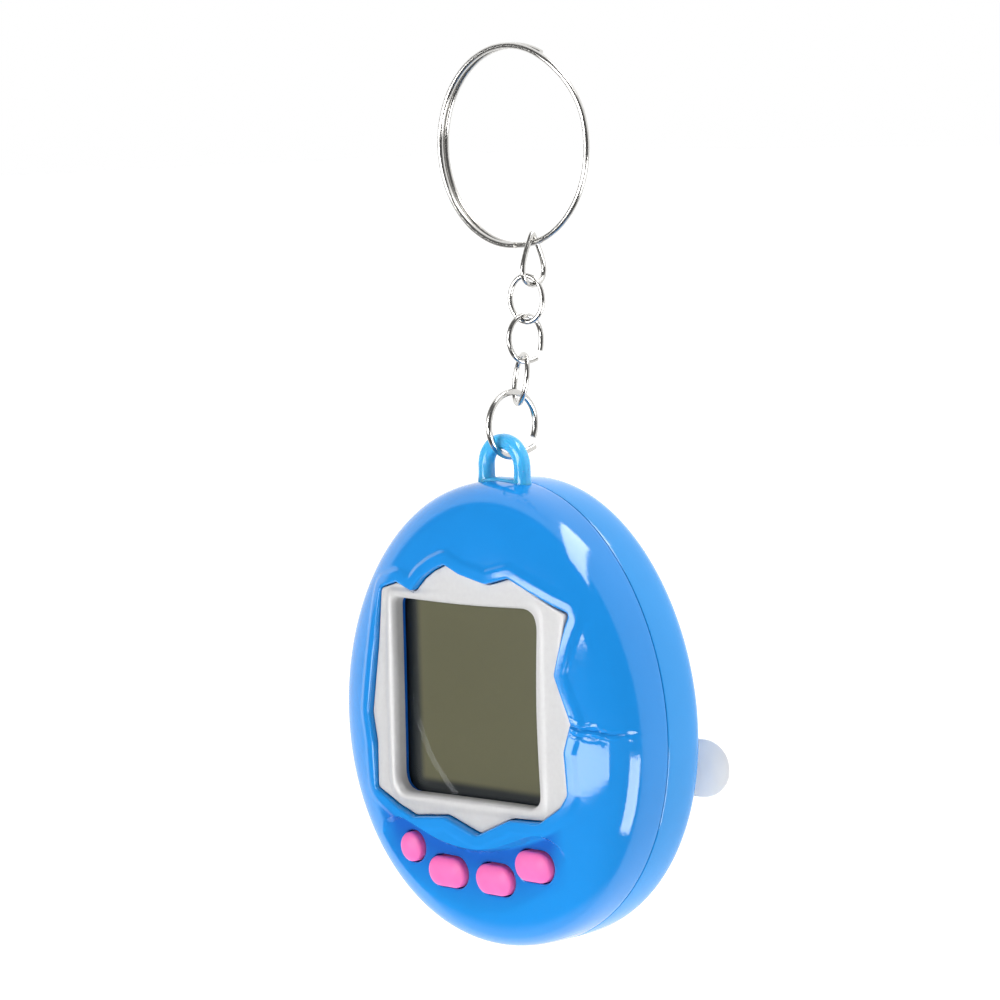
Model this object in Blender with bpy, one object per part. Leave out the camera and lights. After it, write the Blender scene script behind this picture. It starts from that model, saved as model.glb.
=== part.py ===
"""Virtual pet on a key chain: an egg-shaped case with a small display and four buttons.

Drawing units are millimetres, measured from the centre of the case: +X to the right of the
face, +Y to the back, +Z up. The case hangs by its moulded loop from a jump ring, four chain
links and a split ring. The model's origin is the inside top of the split ring, where a hook
or a finger carries it, so every point is shifted there and scaled to metres.
"""
import math

import bmesh
import bpy
from mathutils import Vector

for _old in list(bpy.data.objects):
    bpy.data.objects.remove(_old, do_unlink=True)

MM = 0.001

# egg-shaped case
HALF_W = 24.8
HALF_H = 28.5
EGG_TAPER = 0.046
FRONT_D = 9.8
FRONT_P = 5.0
FRONT_Q = 3.66
BACK_D = 9.1
BACK_P = 2.75
BACK_Q = 6.2
BACK_FLAT_Y = 8.95
WALL = 1.7
SEAM_HALF = 0.05
INNER_FACE_Y = -6.9

# display frame and the pocket it sits in
FACE_C = (0.0, 2.2)
POCKET_Y = -8.0
FRAME_BACK_Y = -8.1
FRAME_FACE_Y = -8.9
FRAME_RIDGE_Y = -9.35
LIP_RISE = 0.35
FRAME_OUTLINE = (
    (-14.4, 15.1), (-11.5, 16.0), (-8.3, 15.1), (-6.5, 16.85), (-4.7, 17.95), (-2.7, 18.75),
    (0.05, 17.7), (2.3, 17.25), (4.5, 16.8), (8.05, 17.75), (11.2, 16.45), (14.7, 15.0),
    (17.0, 14.1), (15.4, 6.9), (17.8, 1.35), (16.6, -2.1), (16.8, -7.25), (15.6, -8.9),
    (12.5, -10.9), (7.4, -11.15), (1.9, -13.6), (-3.6, -11.9), (-9.3, -12.55), (-12.1, -11.6),
    (-16.05, -9.75), (-15.97, -4.2), (-16.64, -0.4), (-15.2, 8.25),
)
WINDOW_CORNERS = ((-12.2, 14.1), (12.3, 14.35), (12.1, -9.5), (-12.5, -9.9))
WINDOW_MIDS = ((0.0, 13.9), (11.65, 2.2), (0.0, -9.65), (-12.3, 2.2))
WINDOW_R = 1.4

# button shelf, buttons and their travel
SHELF_Y = -8.6
SHELF_EDGE = (
    (-15.6, -15.0), (-14.6, -13.7), (-12.2, -12.9), (-9.5, -13.4), (-5.0, -14.9), (0.0, -15.5),
    (4.0, -15.1), (7.5, -14.0), (10.5, -12.9), (12.8, -12.6), (14.9, -13.4), (16.0, -14.6),
)
BUTTON_R = 1.83
BUTTONS = (
    ("button_reset", -10.3, -16.6, 1.83),
    ("button_decide", -4.15, -19.0, 3.1),
    ("button_select", 4.0, -19.0, 3.0),
    ("button_cancel", 10.7, -16.6, 2.95),
)
BUTTON_END_Y = -9.65
BUTTON_BASE_Y = -3.95
BUTTON_CLEAR = 0.2
PILL_BACK_Y = -3.5

# loop moulded on the front half
LOOP_Y = -1.3
LOOP_ARCH_Z = 30.1
LOOP_HALF = 3.05
LOOP_R = 0.95

# ring and chain
RING_C = (0.0, 1.6, 68.7)
RING_PATH_R = 12.0
RING_WIRE_R = 0.375
RING_PITCH = 0.95
RING_START = 23.6
RING_TURN = 566.0
LINK_WIRE_R = 0.33
LINK_W = 5.3
LINKS = (
    ("chain_link_1", (2.6, 2.0), 51.6, 58.45, 101.5, 0.8, 0.0),
    ("chain_link_2", (1.6, 1.7), 47.12, 53.36, 12.0, 0.0, 0.0),
    ("chain_link_3", (1.2, 1.7), 42.3, 48.57, 78.0, 0.0, 0.0),
    ("chain_link_4", (0.7, 1.25), 37.2, 43.86, -28.0, 0.0, 0.08),
)
JUMP_C = (0.0, 0.2, 35.1)
JUMP_PATH_R = 3.9
JUMP_WIRE_R = 0.4

# electronics
BOARD_FRONT_Y = -2.6
BOARD_BACK_Y = -1.6
CELL_R = 5.8
CELL_T = 5.4
CELL_X = 6.15
CELL_Z = -6.2
CELL_FRONT_Y = 0.5
BUZZER_Z = 14.0

# battery door and screws
DOOR_INNER_Y = 7.3
DOOR_HALF = 14.4
DOOR_LOW = -14.4
DOOR_HIGH = 1.6
DOOR_SCREW = (0.0, 2.6)
CASE_SCREWS = ((-8.0, 21.5), (8.0, 21.5), (17.2, -12.6), (-17.2, -12.6))

# battery pull tab
TAB_SLOPE = 16.0
TAB_TIP = (24.45, 11.05)
TAB_Z = -6.3
TAB_HALF = 3.55
TAB_T = 0.26
TAB_LENGTH = 18.2

HANG = (0.0, RING_C[1], RING_C[2] + RING_PATH_R - RING_WIRE_R)


def at(x, y, z):
    """A drawing point as the model's own, in metres."""
    return Vector((x - HANG[0], y - HANG[1], z - HANG[2])) * MM


def material(name, colour, rough, metallic=0.0, alpha=1.0):
    mat = bpy.data.materials.new(name)
    mat.use_nodes = True
    shader = mat.node_tree.nodes["Principled BSDF"]
    shader.inputs["Base Color"].default_value = (*colour, 1.0)
    shader.inputs["Roughness"].default_value = rough
    shader.inputs["Metallic"].default_value = metallic
    shader.inputs["Alpha"].default_value = alpha
    mat.diffuse_color = (*colour, alpha)
    return mat


def pivot(name, point):
    """An empty on a joint's axis, which the body's pieces are parented to."""
    empty = bpy.data.objects.new(name, None)
    empty.empty_display_size = 0.005
    empty.location = at(*point)
    bpy.context.collection.objects.link(empty)
    return empty, Vector(point)


def place(obj, mat, parent, origin):
    """Puts a finished object at its origin, under its body's empty."""
    obj.location = at(*origin)
    if parent:
        obj.parent = parent[0]
        obj.location = (Vector(origin) - parent[1]) * MM
    if mat:
        obj.data.materials.append(mat)
    bpy.context.collection.objects.link(obj)
    return obj


def solid(name, bm, mat=None, parent=None, origin=(0.0, 0.0, 0.0), sharp=35.0):
    """Turns drawing-unit geometry into an object whose origin is the given drawing point."""
    bmesh.ops.translate(bm, verts=bm.verts, vec=-Vector(origin))
    bmesh.ops.scale(bm, verts=bm.verts, vec=(MM, MM, MM))
    bmesh.ops.recalc_face_normals(bm, faces=bm.faces)
    mesh = bpy.data.meshes.new(name)
    bm.to_mesh(mesh)
    bm.free()
    mesh.shade_smooth()
    mesh.set_sharp_from_angle(angle=math.radians(sharp))
    return place(bpy.data.objects.new(name, mesh), mat, parent, origin)


def wire(name, points, radius, mat, parent=None, origin=(0.0, 0.0, 0.0), closed=False, sides=2):
    """A round wire along drawing points, capped unless it closes on itself."""
    curve = bpy.data.curves.new(name, "CURVE")
    curve.dimensions = "3D"
    curve.bevel_depth = radius * MM
    curve.bevel_resolution = sides
    curve.use_fill_caps = not closed
    spline = curve.splines.new("POLY")
    spline.points.add(len(points) - 1)
    spline.use_cyclic_u = closed
    for spot, point in zip(spline.points, points):
        local = (Vector(point) - Vector(origin)) * MM
        spot.co = (*local, 1.0)
    return place(bpy.data.objects.new(name, curve), mat, parent, origin)


def boolean(target, tool, operation="DIFFERENCE"):
    tool.hide_render = True
    tool.display_type = "WIRE"
    mod = target.modifiers.new(tool.name, "BOOLEAN")
    mod.operation = operation
    mod.solver = "EXACT"
    mod.object = tool


def rings_mesh(rings, close=False, bm=None):
    """Joins rings of equal length in order; open stacks get a flat cap at each end."""
    bm = bm or bmesh.new()
    rows = [[bm.verts.new(point) for point in ring] for ring in rings]
    pairs = list(zip(rows, rows[1:]))
    if close:
        pairs.append((rows[-1], rows[0]))
    for one, two in pairs:
        for i in range(len(one)):
            j = (i + 1) % len(one)
            bm.faces.new((one[i], one[j], two[j], two[i]))
    if not close:
        bm.faces.new(rows[0])
        bm.faces.new(rows[-1][::-1])
    return bm


def prism(outline, y0, y1, bm=None):
    """An (x, z) outline run from y0 to y1."""
    return rings_mesh([[(x, y, z) for x, z in outline] for y in (y0, y1)], bm=bm)


def circle(cx, cz, radius, steps=24):
    turn = [2.0 * math.pi * i / steps for i in range(steps)]
    return [(cx + radius * math.cos(a), cz + radius * math.sin(a)) for a in turn]


def obround(cx, cz, half_w, radius, grow=0.0, steps=10):
    """Two half circles joined by straight sides, or a circle if half_w equals radius."""
    r = radius + grow
    run = max(half_w - radius, 0.0)
    points = []
    for side, start in ((1, -90.0), (-1, 90.0)):
        for i in range(steps + 1):
            a = math.radians(start + 180.0 * i / steps)
            points.append((cx + side * run + r * math.cos(a), cz + r * math.sin(a)))
    if run == 0.0:
        points = points[:steps] + points[steps + 1:-1]
    return points


def rounded(points, radius, steps=4):
    """A polygon with every corner replaced by an arc-like curve."""
    out = []
    for i, point in enumerate(points):
        here = Vector(point)
        back = (Vector(points[i - 1]) - here).normalized()
        ahead = (Vector(points[(i + 1) % len(points)]) - here).normalized()
        first = here + back * radius
        last = here + ahead * radius
        for k in range(steps + 1):
            s = k / steps
            spot = first.lerp(here, s).lerp(here.lerp(last, s), s)
            out.append((spot.x, spot.y))
    return out


def rectangle(x0, x1, z0, z1, radius=0.0):
    corners = [(x0, z0), (x1, z0), (x1, z1), (x0, z1)]
    return rounded(corners, radius) if radius else corners


# ---- the egg's own shape ----


def level(x, z, half_w, half_h):
    """1 on the egg's outline, 0 at its centre."""
    r = math.hypot(x / half_w, z / half_h)
    for _ in range(8):
        s = z / (r * half_h) if r > 1e-9 else 0.0
        r = math.hypot(x / (half_w * (1.0 - EGG_TAPER * s)), z / half_h)
    return r


def outline_point(turn, r, half_w, half_h):
    return (
        r * half_w * math.cos(turn) * (1.0 - EGG_TAPER * math.sin(turn)),
        r * half_h * math.sin(turn),
    )


def front_y(r, depth):
    return -depth * max(1.0 - r ** FRONT_P, 0.0) ** (1.0 / FRONT_Q)


def reach(angle, r, half_w, half_h):
    """Distance from the face's centre, along an angle, to the egg's outline scaled by r."""
    near, far = 0.0, 60.0
    for _ in range(40):
        mid = 0.5 * (near + far)
        x = FACE_C[0] + mid * math.cos(angle)
        z = FACE_C[1] + mid * math.sin(angle)
        if level(x, z, half_w, half_h) < r:
            near = mid
        else:
            far = mid
    return near


def cross(angle, outline):
    """Distance from the face's centre, along an angle, to a closed outline around it."""
    dx, dz = math.cos(angle), math.sin(angle)
    for i, (ax, az) in enumerate(outline):
        bx, bz = outline[(i + 1) % len(outline)]
        ax, az, bx, bz = ax - FACE_C[0], az - FACE_C[1], bx - FACE_C[0], bz - FACE_C[1]
        ex, ez = bx - ax, bz - az
        det = dz * ex - dx * ez
        if abs(det) < 1e-12:
            continue
        along = (az * ex - ax * ez) / det
        share = (dx * az - dz * ax) / det
        if along > 0.0 and -1e-6 <= share <= 1.0 + 1e-6:
            return along
    raise ValueError("the outline doesn't surround the face's centre")


def window_outline():
    """The display opening: four sides that bow slightly inwards, and small round corners."""
    points = []
    for corner, mid in zip(WINDOW_CORNERS, WINDOW_MIDS):
        points += [corner, mid]
    soft = []
    for i, point in enumerate(points):
        soft += rounded([points[i - 1], point, points[(i + 1) % 8]], WINDOW_R)[5:10]
    return soft


def face_angles(window):
    """Directions from the face's centre through every corner of both outlines, filled in."""
    def angle_of(point):
        return math.atan2(point[1] - FACE_C[1], point[0] - FACE_C[0]) % (2.0 * math.pi)

    marks = sorted({round(angle_of(p), 4) for p in FRAME_OUTLINE})
    marks += [angle_of(p) for p in window[0:40:2] if min(abs(angle_of(p) - m) for m in marks) > 0.04]
    marks.sort()
    angles = []
    for i, mark in enumerate(marks):
        span = (marks[(i + 1) % len(marks)] - mark) % (2.0 * math.pi)
        steps = max(1, math.ceil(span / math.radians(8.0)))
        angles += [mark + span * k / steps for k in range(steps)]
    return angles


WINDOW = window_outline()
ANGLES = face_angles(WINDOW)


def ring_at(distances, height):
    """A ring of points around the face's centre; height gives y from (x, z)."""
    points = []
    for angle, distance in zip(ANGLES, distances):
        x = FACE_C[0] + distance * math.cos(angle)
        z = FACE_C[1] + distance * math.sin(angle)
        points.append((x, height(x, z), z))
    return points


def dome_rings(half_w, half_h, depth, first_r, steps):
    """Rings down an egg half's rounded edge, from outline scale first_r (a list) to the seam."""
    rings = []
    for k in range(1, steps + 1):
        distances = []
        heights = []
        for angle, r0 in zip(ANGLES, first_r):
            start = math.asin(r0 ** (FRONT_P / 2.0))
            phi = start + (math.pi / 2.0 - start) * k / steps
            r = math.sin(phi) ** (2.0 / FRONT_P)
            distances.append(reach(angle, r, half_w, half_h))
            heights.append(-depth * max(math.cos(phi), 0.0) ** (2.0 / FRONT_Q))
        ring = ring_at(distances, lambda x, z: 0.0)
        rings.append([(x, min(y, -SEAM_HALF), z) for (x, _, z), y in zip(ring, heights)])
    return rings


def front_shell_mesh():
    """The front half as rings around the display: opening, pocket, rolled lip, dome, inside."""
    jag = [cross(a, FRAME_OUTLINE) for a in ANGLES]
    hole = [cross(a, WINDOW) for a in ANGLES]
    rings = [
        ring_at([d + 0.15 for d in hole], lambda x, z: INNER_FACE_Y),
        ring_at([d + 0.15 for d in hole], lambda x, z: POCKET_Y),
        ring_at([d + 0.12 for d in jag], lambda x, z: POCKET_Y),
    ]
    for out, rise in ((0.12, 0.8), (0.5, 1.0), (1.1, 0.75), (1.8, 0.25), (2.4, 0.0)):
        def height(x, z, rise=rise):
            return front_y(level(x, z, HALF_W, HALF_H), FRONT_D) - LIP_RISE * rise
        rings.append(ring_at([d + out for d in jag], height))
    first = [level(x, z, HALF_W, HALF_H) for x, _, z in rings[-1]]
    rings += dome_rings(HALF_W, HALF_H, FRONT_D, first, 7)
    in_w, in_h, in_d = HALF_W - WALL, HALF_H - WALL, FRONT_D - WALL
    flat_r = (1.0 - (INNER_FACE_Y / -in_d) ** FRONT_Q) ** (1.0 / FRONT_P)
    inner = dome_rings(in_w, in_h, in_d, [flat_r] * len(ANGLES), 4)
    rings += inner[::-1]
    rings.append(ring_at([reach(a, flat_r, in_w, in_h) for a in ANGLES], lambda x, z: INNER_FACE_Y))
    return rings_mesh(rings, close=True)


def loop_arch(steps=8, sides=10):
    """A round bar bent into an arch, standing in the top wall just in front of the seam."""
    spots = [(-LOOP_HALF, 27.3, 0.0)]
    for i in range(steps + 1):
        a = math.pi - math.pi * i / steps
        spots.append((LOOP_HALF * math.cos(a), LOOP_ARCH_Z + LOOP_HALF * math.sin(a), math.pi - a))
    spots.append((LOOP_HALF, 27.3, math.pi))
    rings = []
    for x, z, turn in spots:
        ring = []
        for k in range(sides):
            b = 2.0 * math.pi * k / sides
            out = -LOOP_R * math.cos(b)
            ring.append((x + out * math.cos(turn), LOOP_Y + LOOP_R * math.sin(b),
                         z - out * math.sin(turn)))
        rings.append(ring)
    return rings_mesh(rings)


def crack_tool(parent):
    """A shallow V-shaped groove from the frame's right-hand tip across the edge to the seam."""
    rings = []
    for i in range(7):
        s = i / 6.0
        x = 18.6 + 6.0 * s
        z = 1.25 - 1.15 * s
        edge = 0.25 + 0.35 * math.sin(math.pi * min(s * 1.2, 1.0))
        r = min(level(x, z, HALF_W, HALF_H), 0.9995)
        y = front_y(r, FRONT_D)
        rings.append([(x, y + 0.35, z), (x + 0.2, y - 1.2, z + edge), (x + 0.2, y - 1.2, z - edge)])
    return solid("cut_crack", rings_mesh(rings), parent=parent)


def front_shell(mat, case):
    shell = solid("front_shell", front_shell_mesh(), mat, case)
    shelf = list(SHELF_EDGE) + [(17.5, -30.0), (-17.5, -30.0)]
    boolean(shell, solid("cut_shelf", prism(shelf, -12.0, SHELF_Y), parent=case))
    boolean(shell, solid("add_loop", loop_arch(), parent=case), "UNION")
    bosses = bmesh.new()
    pilots = bmesh.new()
    for x, z in CASE_SCREWS:
        prism(circle(x, z, 2.0, 16), -7.3, -0.4, bosses)
        prism(circle(x, z, 0.85, 12), -5.6, 1.0, pilots)
    boolean(shell, solid("add_bosses", bosses, parent=case), "UNION")
    boolean(shell, solid("cut_pilots", pilots, parent=case))
    holes = bmesh.new()
    for _, x, z, half_w in BUTTONS:
        prism(obround(x, z, half_w, BUTTON_R, BUTTON_CLEAR), -12.0, -5.0, holes)
    boolean(shell, solid("cut_buttons", holes, parent=case))
    boolean(shell, crack_tool(case))
    return shell


def screen_bezel(mat, case):
    """Jagged frame with a raised round ridge about the opening."""
    jag = [cross(a, FRAME_OUTLINE) for a in ANGLES]
    hole = [cross(a, WINDOW) for a in ANGLES]
    stack = [
        (hole, 0.0, FRAME_BACK_Y), (hole, 0.55, -9.15), (hole, 0.8, FRAME_RIDGE_Y),
        (hole, 1.05, -9.28), (hole, 1.3, -8.95), (jag, -0.2, FRAME_FACE_Y), (jag, -0.02, -8.75),
        (jag, -0.02, FRAME_BACK_Y),
    ]
    rings = [ring_at([d + grow for d in base], lambda x, z, y=y: y) for base, grow, y in stack]
    return solid("screen_bezel", rings_mesh(rings, close=True), mat, case)


# ---- back half ----


def back_y(r, depth, flat):
    return min(depth * max(1.0 - r ** BACK_P, 0.0) ** (1.0 / BACK_Q), flat)


def back_rings(half_w, half_h, depth, flat, around=48, steps=8):
    rings = []
    for k in range(steps, -1, -1):
        phi = math.pi / 2.0 * (0.12 + 0.88 * k / steps)
        r = math.sin(phi) ** (2.0 / BACK_P)
        h = max(math.cos(phi), 0.0) ** (2.0 / BACK_Q)
        y = max(min(depth * h, flat), SEAM_HALF)
        spots = [outline_point(2.0 * math.pi * i / around, r, half_w, half_h) for i in range(around)]
        rings.append([(x, y, z) for x, z in spots])
    return rings


def tab_run(x0, x1, half, above, below):
    """A slab along the pull tab's slope, between two X positions."""
    slope = math.tan(math.radians(TAB_SLOPE))

    def y_at(x):
        return TAB_TIP[1] - (TAB_TIP[0] - x) * slope

    rings = []
    for x in (x0, x1):
        low, high = y_at(x) - below, y_at(x) + above
        rings.append([
            (x, low, TAB_Z - half), (x, high, TAB_Z - half), (x, high, TAB_Z + half),
            (x, low, TAB_Z + half),
        ])
    return rings_mesh(rings)


def door_outline(grow=0.0):
    """A rounded rectangle with a round tongue at the top for the screw."""
    g = grow
    points = rectangle(-DOOR_HALF - g, DOOR_HALF + g, DOOR_LOW - g, DOOR_HIGH + g, 2.6)
    radius = 2.9 + g
    centre_z = DOOR_SCREW[1] - 0.4
    first = math.asin((DOOR_HIGH + g - centre_z) / radius)
    tongue = []
    for i in range(11):
        a = first + (math.pi - 2.0 * first) * i / 10
        tongue.append((radius * math.cos(a), centre_z + radius * math.sin(a)))
    return points[:15] + tongue + points[15:]


def rear_shell(mat, case):
    outer = back_rings(HALF_W, HALF_H, BACK_D, BACK_FLAT_Y)
    inner = back_rings(HALF_W - WALL, HALF_H - WALL, BACK_D - WALL, BACK_FLAT_Y - WALL)
    shell = solid("rear_shell", rings_mesh(inner[::-1] + outer), mat, case)
    tub = prism(rectangle(-13.9, 13.9, -13.9, 1.4, 1.5), -0.9, 7.7)
    boolean(shell, solid("add_tub", tub, parent=case), "UNION")
    posts = bmesh.new()
    for x, z in CASE_SCREWS:
        prism(circle(x, z, 2.6, 16), 0.4, 6.6, posts)
    prism(circle(*DOOR_SCREW, 2.4, 16), -0.8, 7.7, posts)
    boolean(shell, solid("add_posts", posts, parent=case), "UNION")
    ring = [[(x, y, z) for x, z in circle(0.0, BUZZER_Z, r, 28)]
            for r, y in ((7.6, 5.4), (7.6, 7.6), (6.8, 7.6), (6.8, 5.4))]
    boolean(shell, solid("add_buzzer_rib", rings_mesh(ring, close=True), parent=case), "UNION")
    cuts = prism(rectangle(-12.5, 12.5, -12.5, 0.1, 1.0), 0.1, 7.9)
    boolean(shell, solid("cut_tub", cuts, parent=case))
    boolean(shell, solid("cut_door", prism(door_outline(0.15), DOOR_INNER_Y - 0.15, 12.0),
                         parent=case))
    holes = bmesh.new()
    for x, z in CASE_SCREWS:
        prism(circle(x, z, 1.1, 12), -1.0, 4.0, holes)
    prism(circle(*DOOR_SCREW, 0.7, 12), 1.2, 7.4, holes)
    for side in (-1, 1):
        prism(rectangle(side * CELL_X - 0.6, side * CELL_X + 0.6, CELL_Z - 1.7, CELL_Z + 1.7),
              -2.0, 1.0, holes)
    boolean(shell, solid("cut_holes", holes, parent=case))
    bores = bmesh.new()
    for x, z in CASE_SCREWS:
        prism(circle(x, z, 2.0, 16), 3.6, 12.0, bores)
    for i in range(5):
        a = math.radians(90.0 * i)
        far = 2.4 if i < 4 else 0.0
        prism(circle(far * math.cos(a), BUZZER_Z + far * math.sin(a), 0.6, 8), 6.5, 12.0, bores)
    boolean(shell, solid("cut_bores", bores, parent=case))
    boolean(shell, solid("cut_tab_slot_rear", tab_run(11.0, 20.0, 3.85, 0.45, 0.45), parent=case))
    return shell


def battery_door(mat, case, lid):
    door = solid("battery_door", prism(door_outline(), DOOR_INNER_Y, 12.0), mat, lid)
    form = rings_mesh(back_rings(HALF_W, HALF_H, BACK_D, BACK_FLAT_Y))
    boolean(door, solid("keep_door", form, parent=lid), "INTERSECT")
    tools = prism(circle(*DOOR_SCREW, 1.0, 12), 6.0, 12.0)
    boolean(door, solid("cut_door_hole", tools, parent=lid))
    boolean(door, solid("cut_door_sink", prism(circle(*DOOR_SCREW, 1.75, 16), 8.1, 12.0),
                        parent=lid))
    boolean(door, solid("cut_tab_slot_door", tab_run(9.0, 20.0, 3.85, 0.45, 1.2), parent=lid))
    return door


def screw(name, mat, parent, x, z, head_y, shaft_end, head_r, shaft_r, head_t):
    """A pan-head screw along Y with a cross recess."""
    rows = (
        (shaft_r * 0.35, shaft_end), (shaft_r, shaft_end + 1.0), (shaft_r, head_y),
        (head_r, head_y), (head_r, head_y + head_t * 0.55), (head_r * 0.7, head_y + head_t),
    )
    rings = [[(px, y, pz) for px, pz in circle(x, z, r, 12)] for r, y in rows]
    body = solid(name, rings_mesh(rings), mat, parent, (x, head_y, z))
    arm, reach_r = head_r * 0.16, head_r * 0.6
    top = head_y + head_t
    cross_outline = [
        (arm, arm), (reach_r, arm), (reach_r, -arm), (arm, -arm), (arm, -reach_r),
        (-arm, -reach_r), (-arm, -arm), (-reach_r, -arm), (-reach_r, arm), (-arm, arm),
        (-arm, reach_r), (arm, reach_r),
    ]
    shape = prism([(x + px, z + pz) for px, pz in cross_outline], top - head_t * 0.5, top + 1.0)
    boolean(body, solid("cut_" + name, shape, parent=parent))
    return body


# ---- ring and chain ----


def split_ring(mat):
    """A turn and a half of wire: behind, over at the upper right, then in front to the bottom."""
    points = []
    steps = 66
    cross_from, cross_to = 309.0, 360.0
    for i in range(steps + 1):
        turn = RING_TURN * i / steps
        a = math.radians(RING_START - turn)
        s = min(max((turn - cross_from) / (cross_to - cross_from), 0.0), 1.0)
        s = s * s * (3.0 - 2.0 * s)
        y = RING_PITCH * (0.5 - s)
        points.append((
            RING_C[0] + RING_PATH_R * math.sin(a), RING_C[1] + y,
            RING_C[2] + RING_PATH_R * math.cos(a),
        ))
    return wire("split_ring", points, RING_WIRE_R, mat, sides=1)


def link_points(centre, low, high, azimuth, pinch, lean, steps=24):
    """An oval link's centre line; pinch narrows it towards its top, lean tips it over."""
    half_w = LINK_W / 2.0 - LINK_WIRE_R
    half_h = (high - low) / 2.0 - LINK_WIRE_R
    along = (math.cos(math.radians(azimuth)), math.sin(math.radians(azimuth)))
    points = []
    for i in range(steps):
        a = 2.0 * math.pi * i / steps
        narrow = 1.0 - pinch * (1.0 + math.cos(a)) / 2.0
        across = half_w * (1.0 + 0.54 * pinch) * math.sin(a) * narrow
        rise = half_h * math.cos(a)
        points.append((
            centre[0] + across * along[0] + lean * rise,
            centre[1] + across * along[1] + 0.6 * lean * rise,
            (low + high) / 2.0 + rise,
        ))
    return points


def jump_ring(mat, parent):
    """A round ring whose cut ends don't quite meet."""
    points = []
    steps = 24
    for i in range(steps + 1):
        a = math.radians(128.0 + 350.0 * i / steps)
        spread = 0.22 * (i / steps - 0.5)
        points.append((
            JUMP_C[0] + spread, JUMP_C[1] + JUMP_PATH_R * math.sin(a),
            JUMP_C[2] + JUMP_PATH_R * math.cos(a),
        ))
    return wire("jump_ring", points, JUMP_WIRE_R, mat, parent[0:2], tuple(parent[1]))


# ---- display and electronics ----


def plate(name, mat, case, x0, x1, z0, z1, y0, y1, radius=0.0):
    return solid(name, prism(rectangle(x0, x1, z0, z1, radius), y0, y1), mat, case)


def display(mats, case):
    plate("screen_film", mats["film"], case, -13.7, 13.7, -11.2, 15.6, -6.83, -6.7, 0.8)
    plate("lcd_polariser", mats["lcd"], case, -13.6, 13.6, -10.9, 15.4, -6.64, -6.5, 0.0)
    plate("lcd_front_glass", mats["glass"], case, -14.0, 14.0, -12.5, 15.7, -6.42, -5.4)
    plate("lcd_rear_glass", mats["glass"], case, -14.0, 14.0, -9.9, 15.7, -5.32, -4.3)
    plate("lcd_reflector", mats["foil"], case, -13.8, 13.8, -9.8, 15.5, -4.22, -4.08)
    plate("zebra_connector", mats["zebra"], case, -13.2, 13.2, -12.3, -10.3, -5.32, -2.7)


def circuit_board(mat, case):
    outline = [
        (-15.0, 17.5), (-15.0, -18.5), (-9.0, -23.0), (9.0, -23.0), (15.0, -18.5), (15.0, 17.5),
    ]
    return solid("circuit_board", prism(outline, BOARD_FRONT_Y, BOARD_BACK_Y), mat, case)


def chip_blob(mat, case):
    rows = ((3.6, -1.52), (3.5, -1.1), (2.9, -0.65), (1.7, -0.4))
    rings = [[(x, y, z) for x, z in circle(0.0, 10.5, r, 20)] for r, y in rows]
    return solid("chip_blob", rings_mesh(rings), mat, case)


def board_parts(mats, case):
    rows = ((1.9, -1.5), (2.0, -1.3), (2.0, 2.0), (1.8, 2.2))
    rings = [[(x, y, z) for x, z in circle(-9.5, 10.0, r, 16)] for r, y in rows]
    solid("capacitor", rings_mesh(rings), mats["cap"], case)
    wire("clock_crystal", [(6.6, -0.35, 12.6), (11.6, -0.35, 12.6)], 1.0, mats["steel"], case)
    wire("resistor_1", [(7.4, -0.75, 9.6), (10.8, -0.75, 9.6)], 0.65, mats["resistor"], case)
    wire("resistor_2", [(7.4, -0.75, 7.4), (10.8, -0.75, 7.4)], 0.65, mats["resistor"], case)


def button_mat(mat, case):
    """The keypad's base on the circuit board, open around each moving button."""
    outline = [(-14.8, -13.6), (-14.8, -18.4), (-8.9, -22.8), (8.9, -22.8), (14.8, -18.4),
               (14.8, -13.6)]
    body = solid("button_mat", prism(outline, -3.5, -2.68), mat, case)
    holes = bmesh.new()
    for _, x, z, half_w in BUTTONS:
        prism(obround(x, z, half_w, BUTTON_R, 0.33, 8), -4.5, -1.5, holes)
    boolean(body, solid("cut_mat", holes, parent=case))
    return body


def button(name, x, z, half_w, mats, case_point):
    """A silicone post with a retaining flange behind the face and a carbon pill at its base."""
    rows = (
        (0.0, BUTTON_BASE_Y), (0.0, -5.5), (0.5, -5.5), (0.5, -6.3), (0.0, -6.3), (0.0, -9.15),
        (-0.12, -9.45), (-0.5, BUTTON_END_Y),
    )
    origin = (x, BUTTON_END_Y, z)
    rings = [[(px, y, pz) for px, pz in obround(x, z, half_w, BUTTON_R, grow)] for grow, y in rows]
    body = solid(name, rings_mesh(rings), mats["button"], case_point, origin)
    pill = prism(obround(x, z, half_w, BUTTON_R, -0.45, 6), -3.92, PILL_BACK_Y)
    solid("pill_" + name[7:], pill, mats["carbon"], case_point, origin)
    return body


def buzzer(mats, case):
    solid("buzzer_disc", prism(circle(0.0, BUZZER_Z, 6.5, 28), 6.1, 6.35), mats["brass"], case)
    solid("buzzer_ceramic", prism(circle(0.0, BUZZER_Z, 4.5, 24), 5.85, 6.03), mats["ceramic"],
          case)
    for name, side, mat in (("wire_red", -1, mats["red"]), ("wire_black", 1, mats["black"])):
        x = 5.4 * side
        points = [(x, -1.2, 15.5), (x, 0.6, 15.6), (x, 2.2, 15.2), (x, 3.9, 14.8), (x, 5.65, 14.6)]
        wire("buzzer_" + name, points, 0.32, mat, case)


def cells(mats, case):
    rows = ((5.4, 0.0), (CELL_R, 0.0), (CELL_R, CELL_T - 0.3), (CELL_R - 0.3, CELL_T))
    for name, side in (("cell_left", -1), ("cell_right", 1)):
        rings = [
            [(x, CELL_FRONT_Y + y, z) for x, z in circle(side * CELL_X, CELL_Z, r, 28)]
            for r, y in rows[1:]
        ]
        solid(name, rings_mesh(rings), mats["cell"], case)


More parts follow.
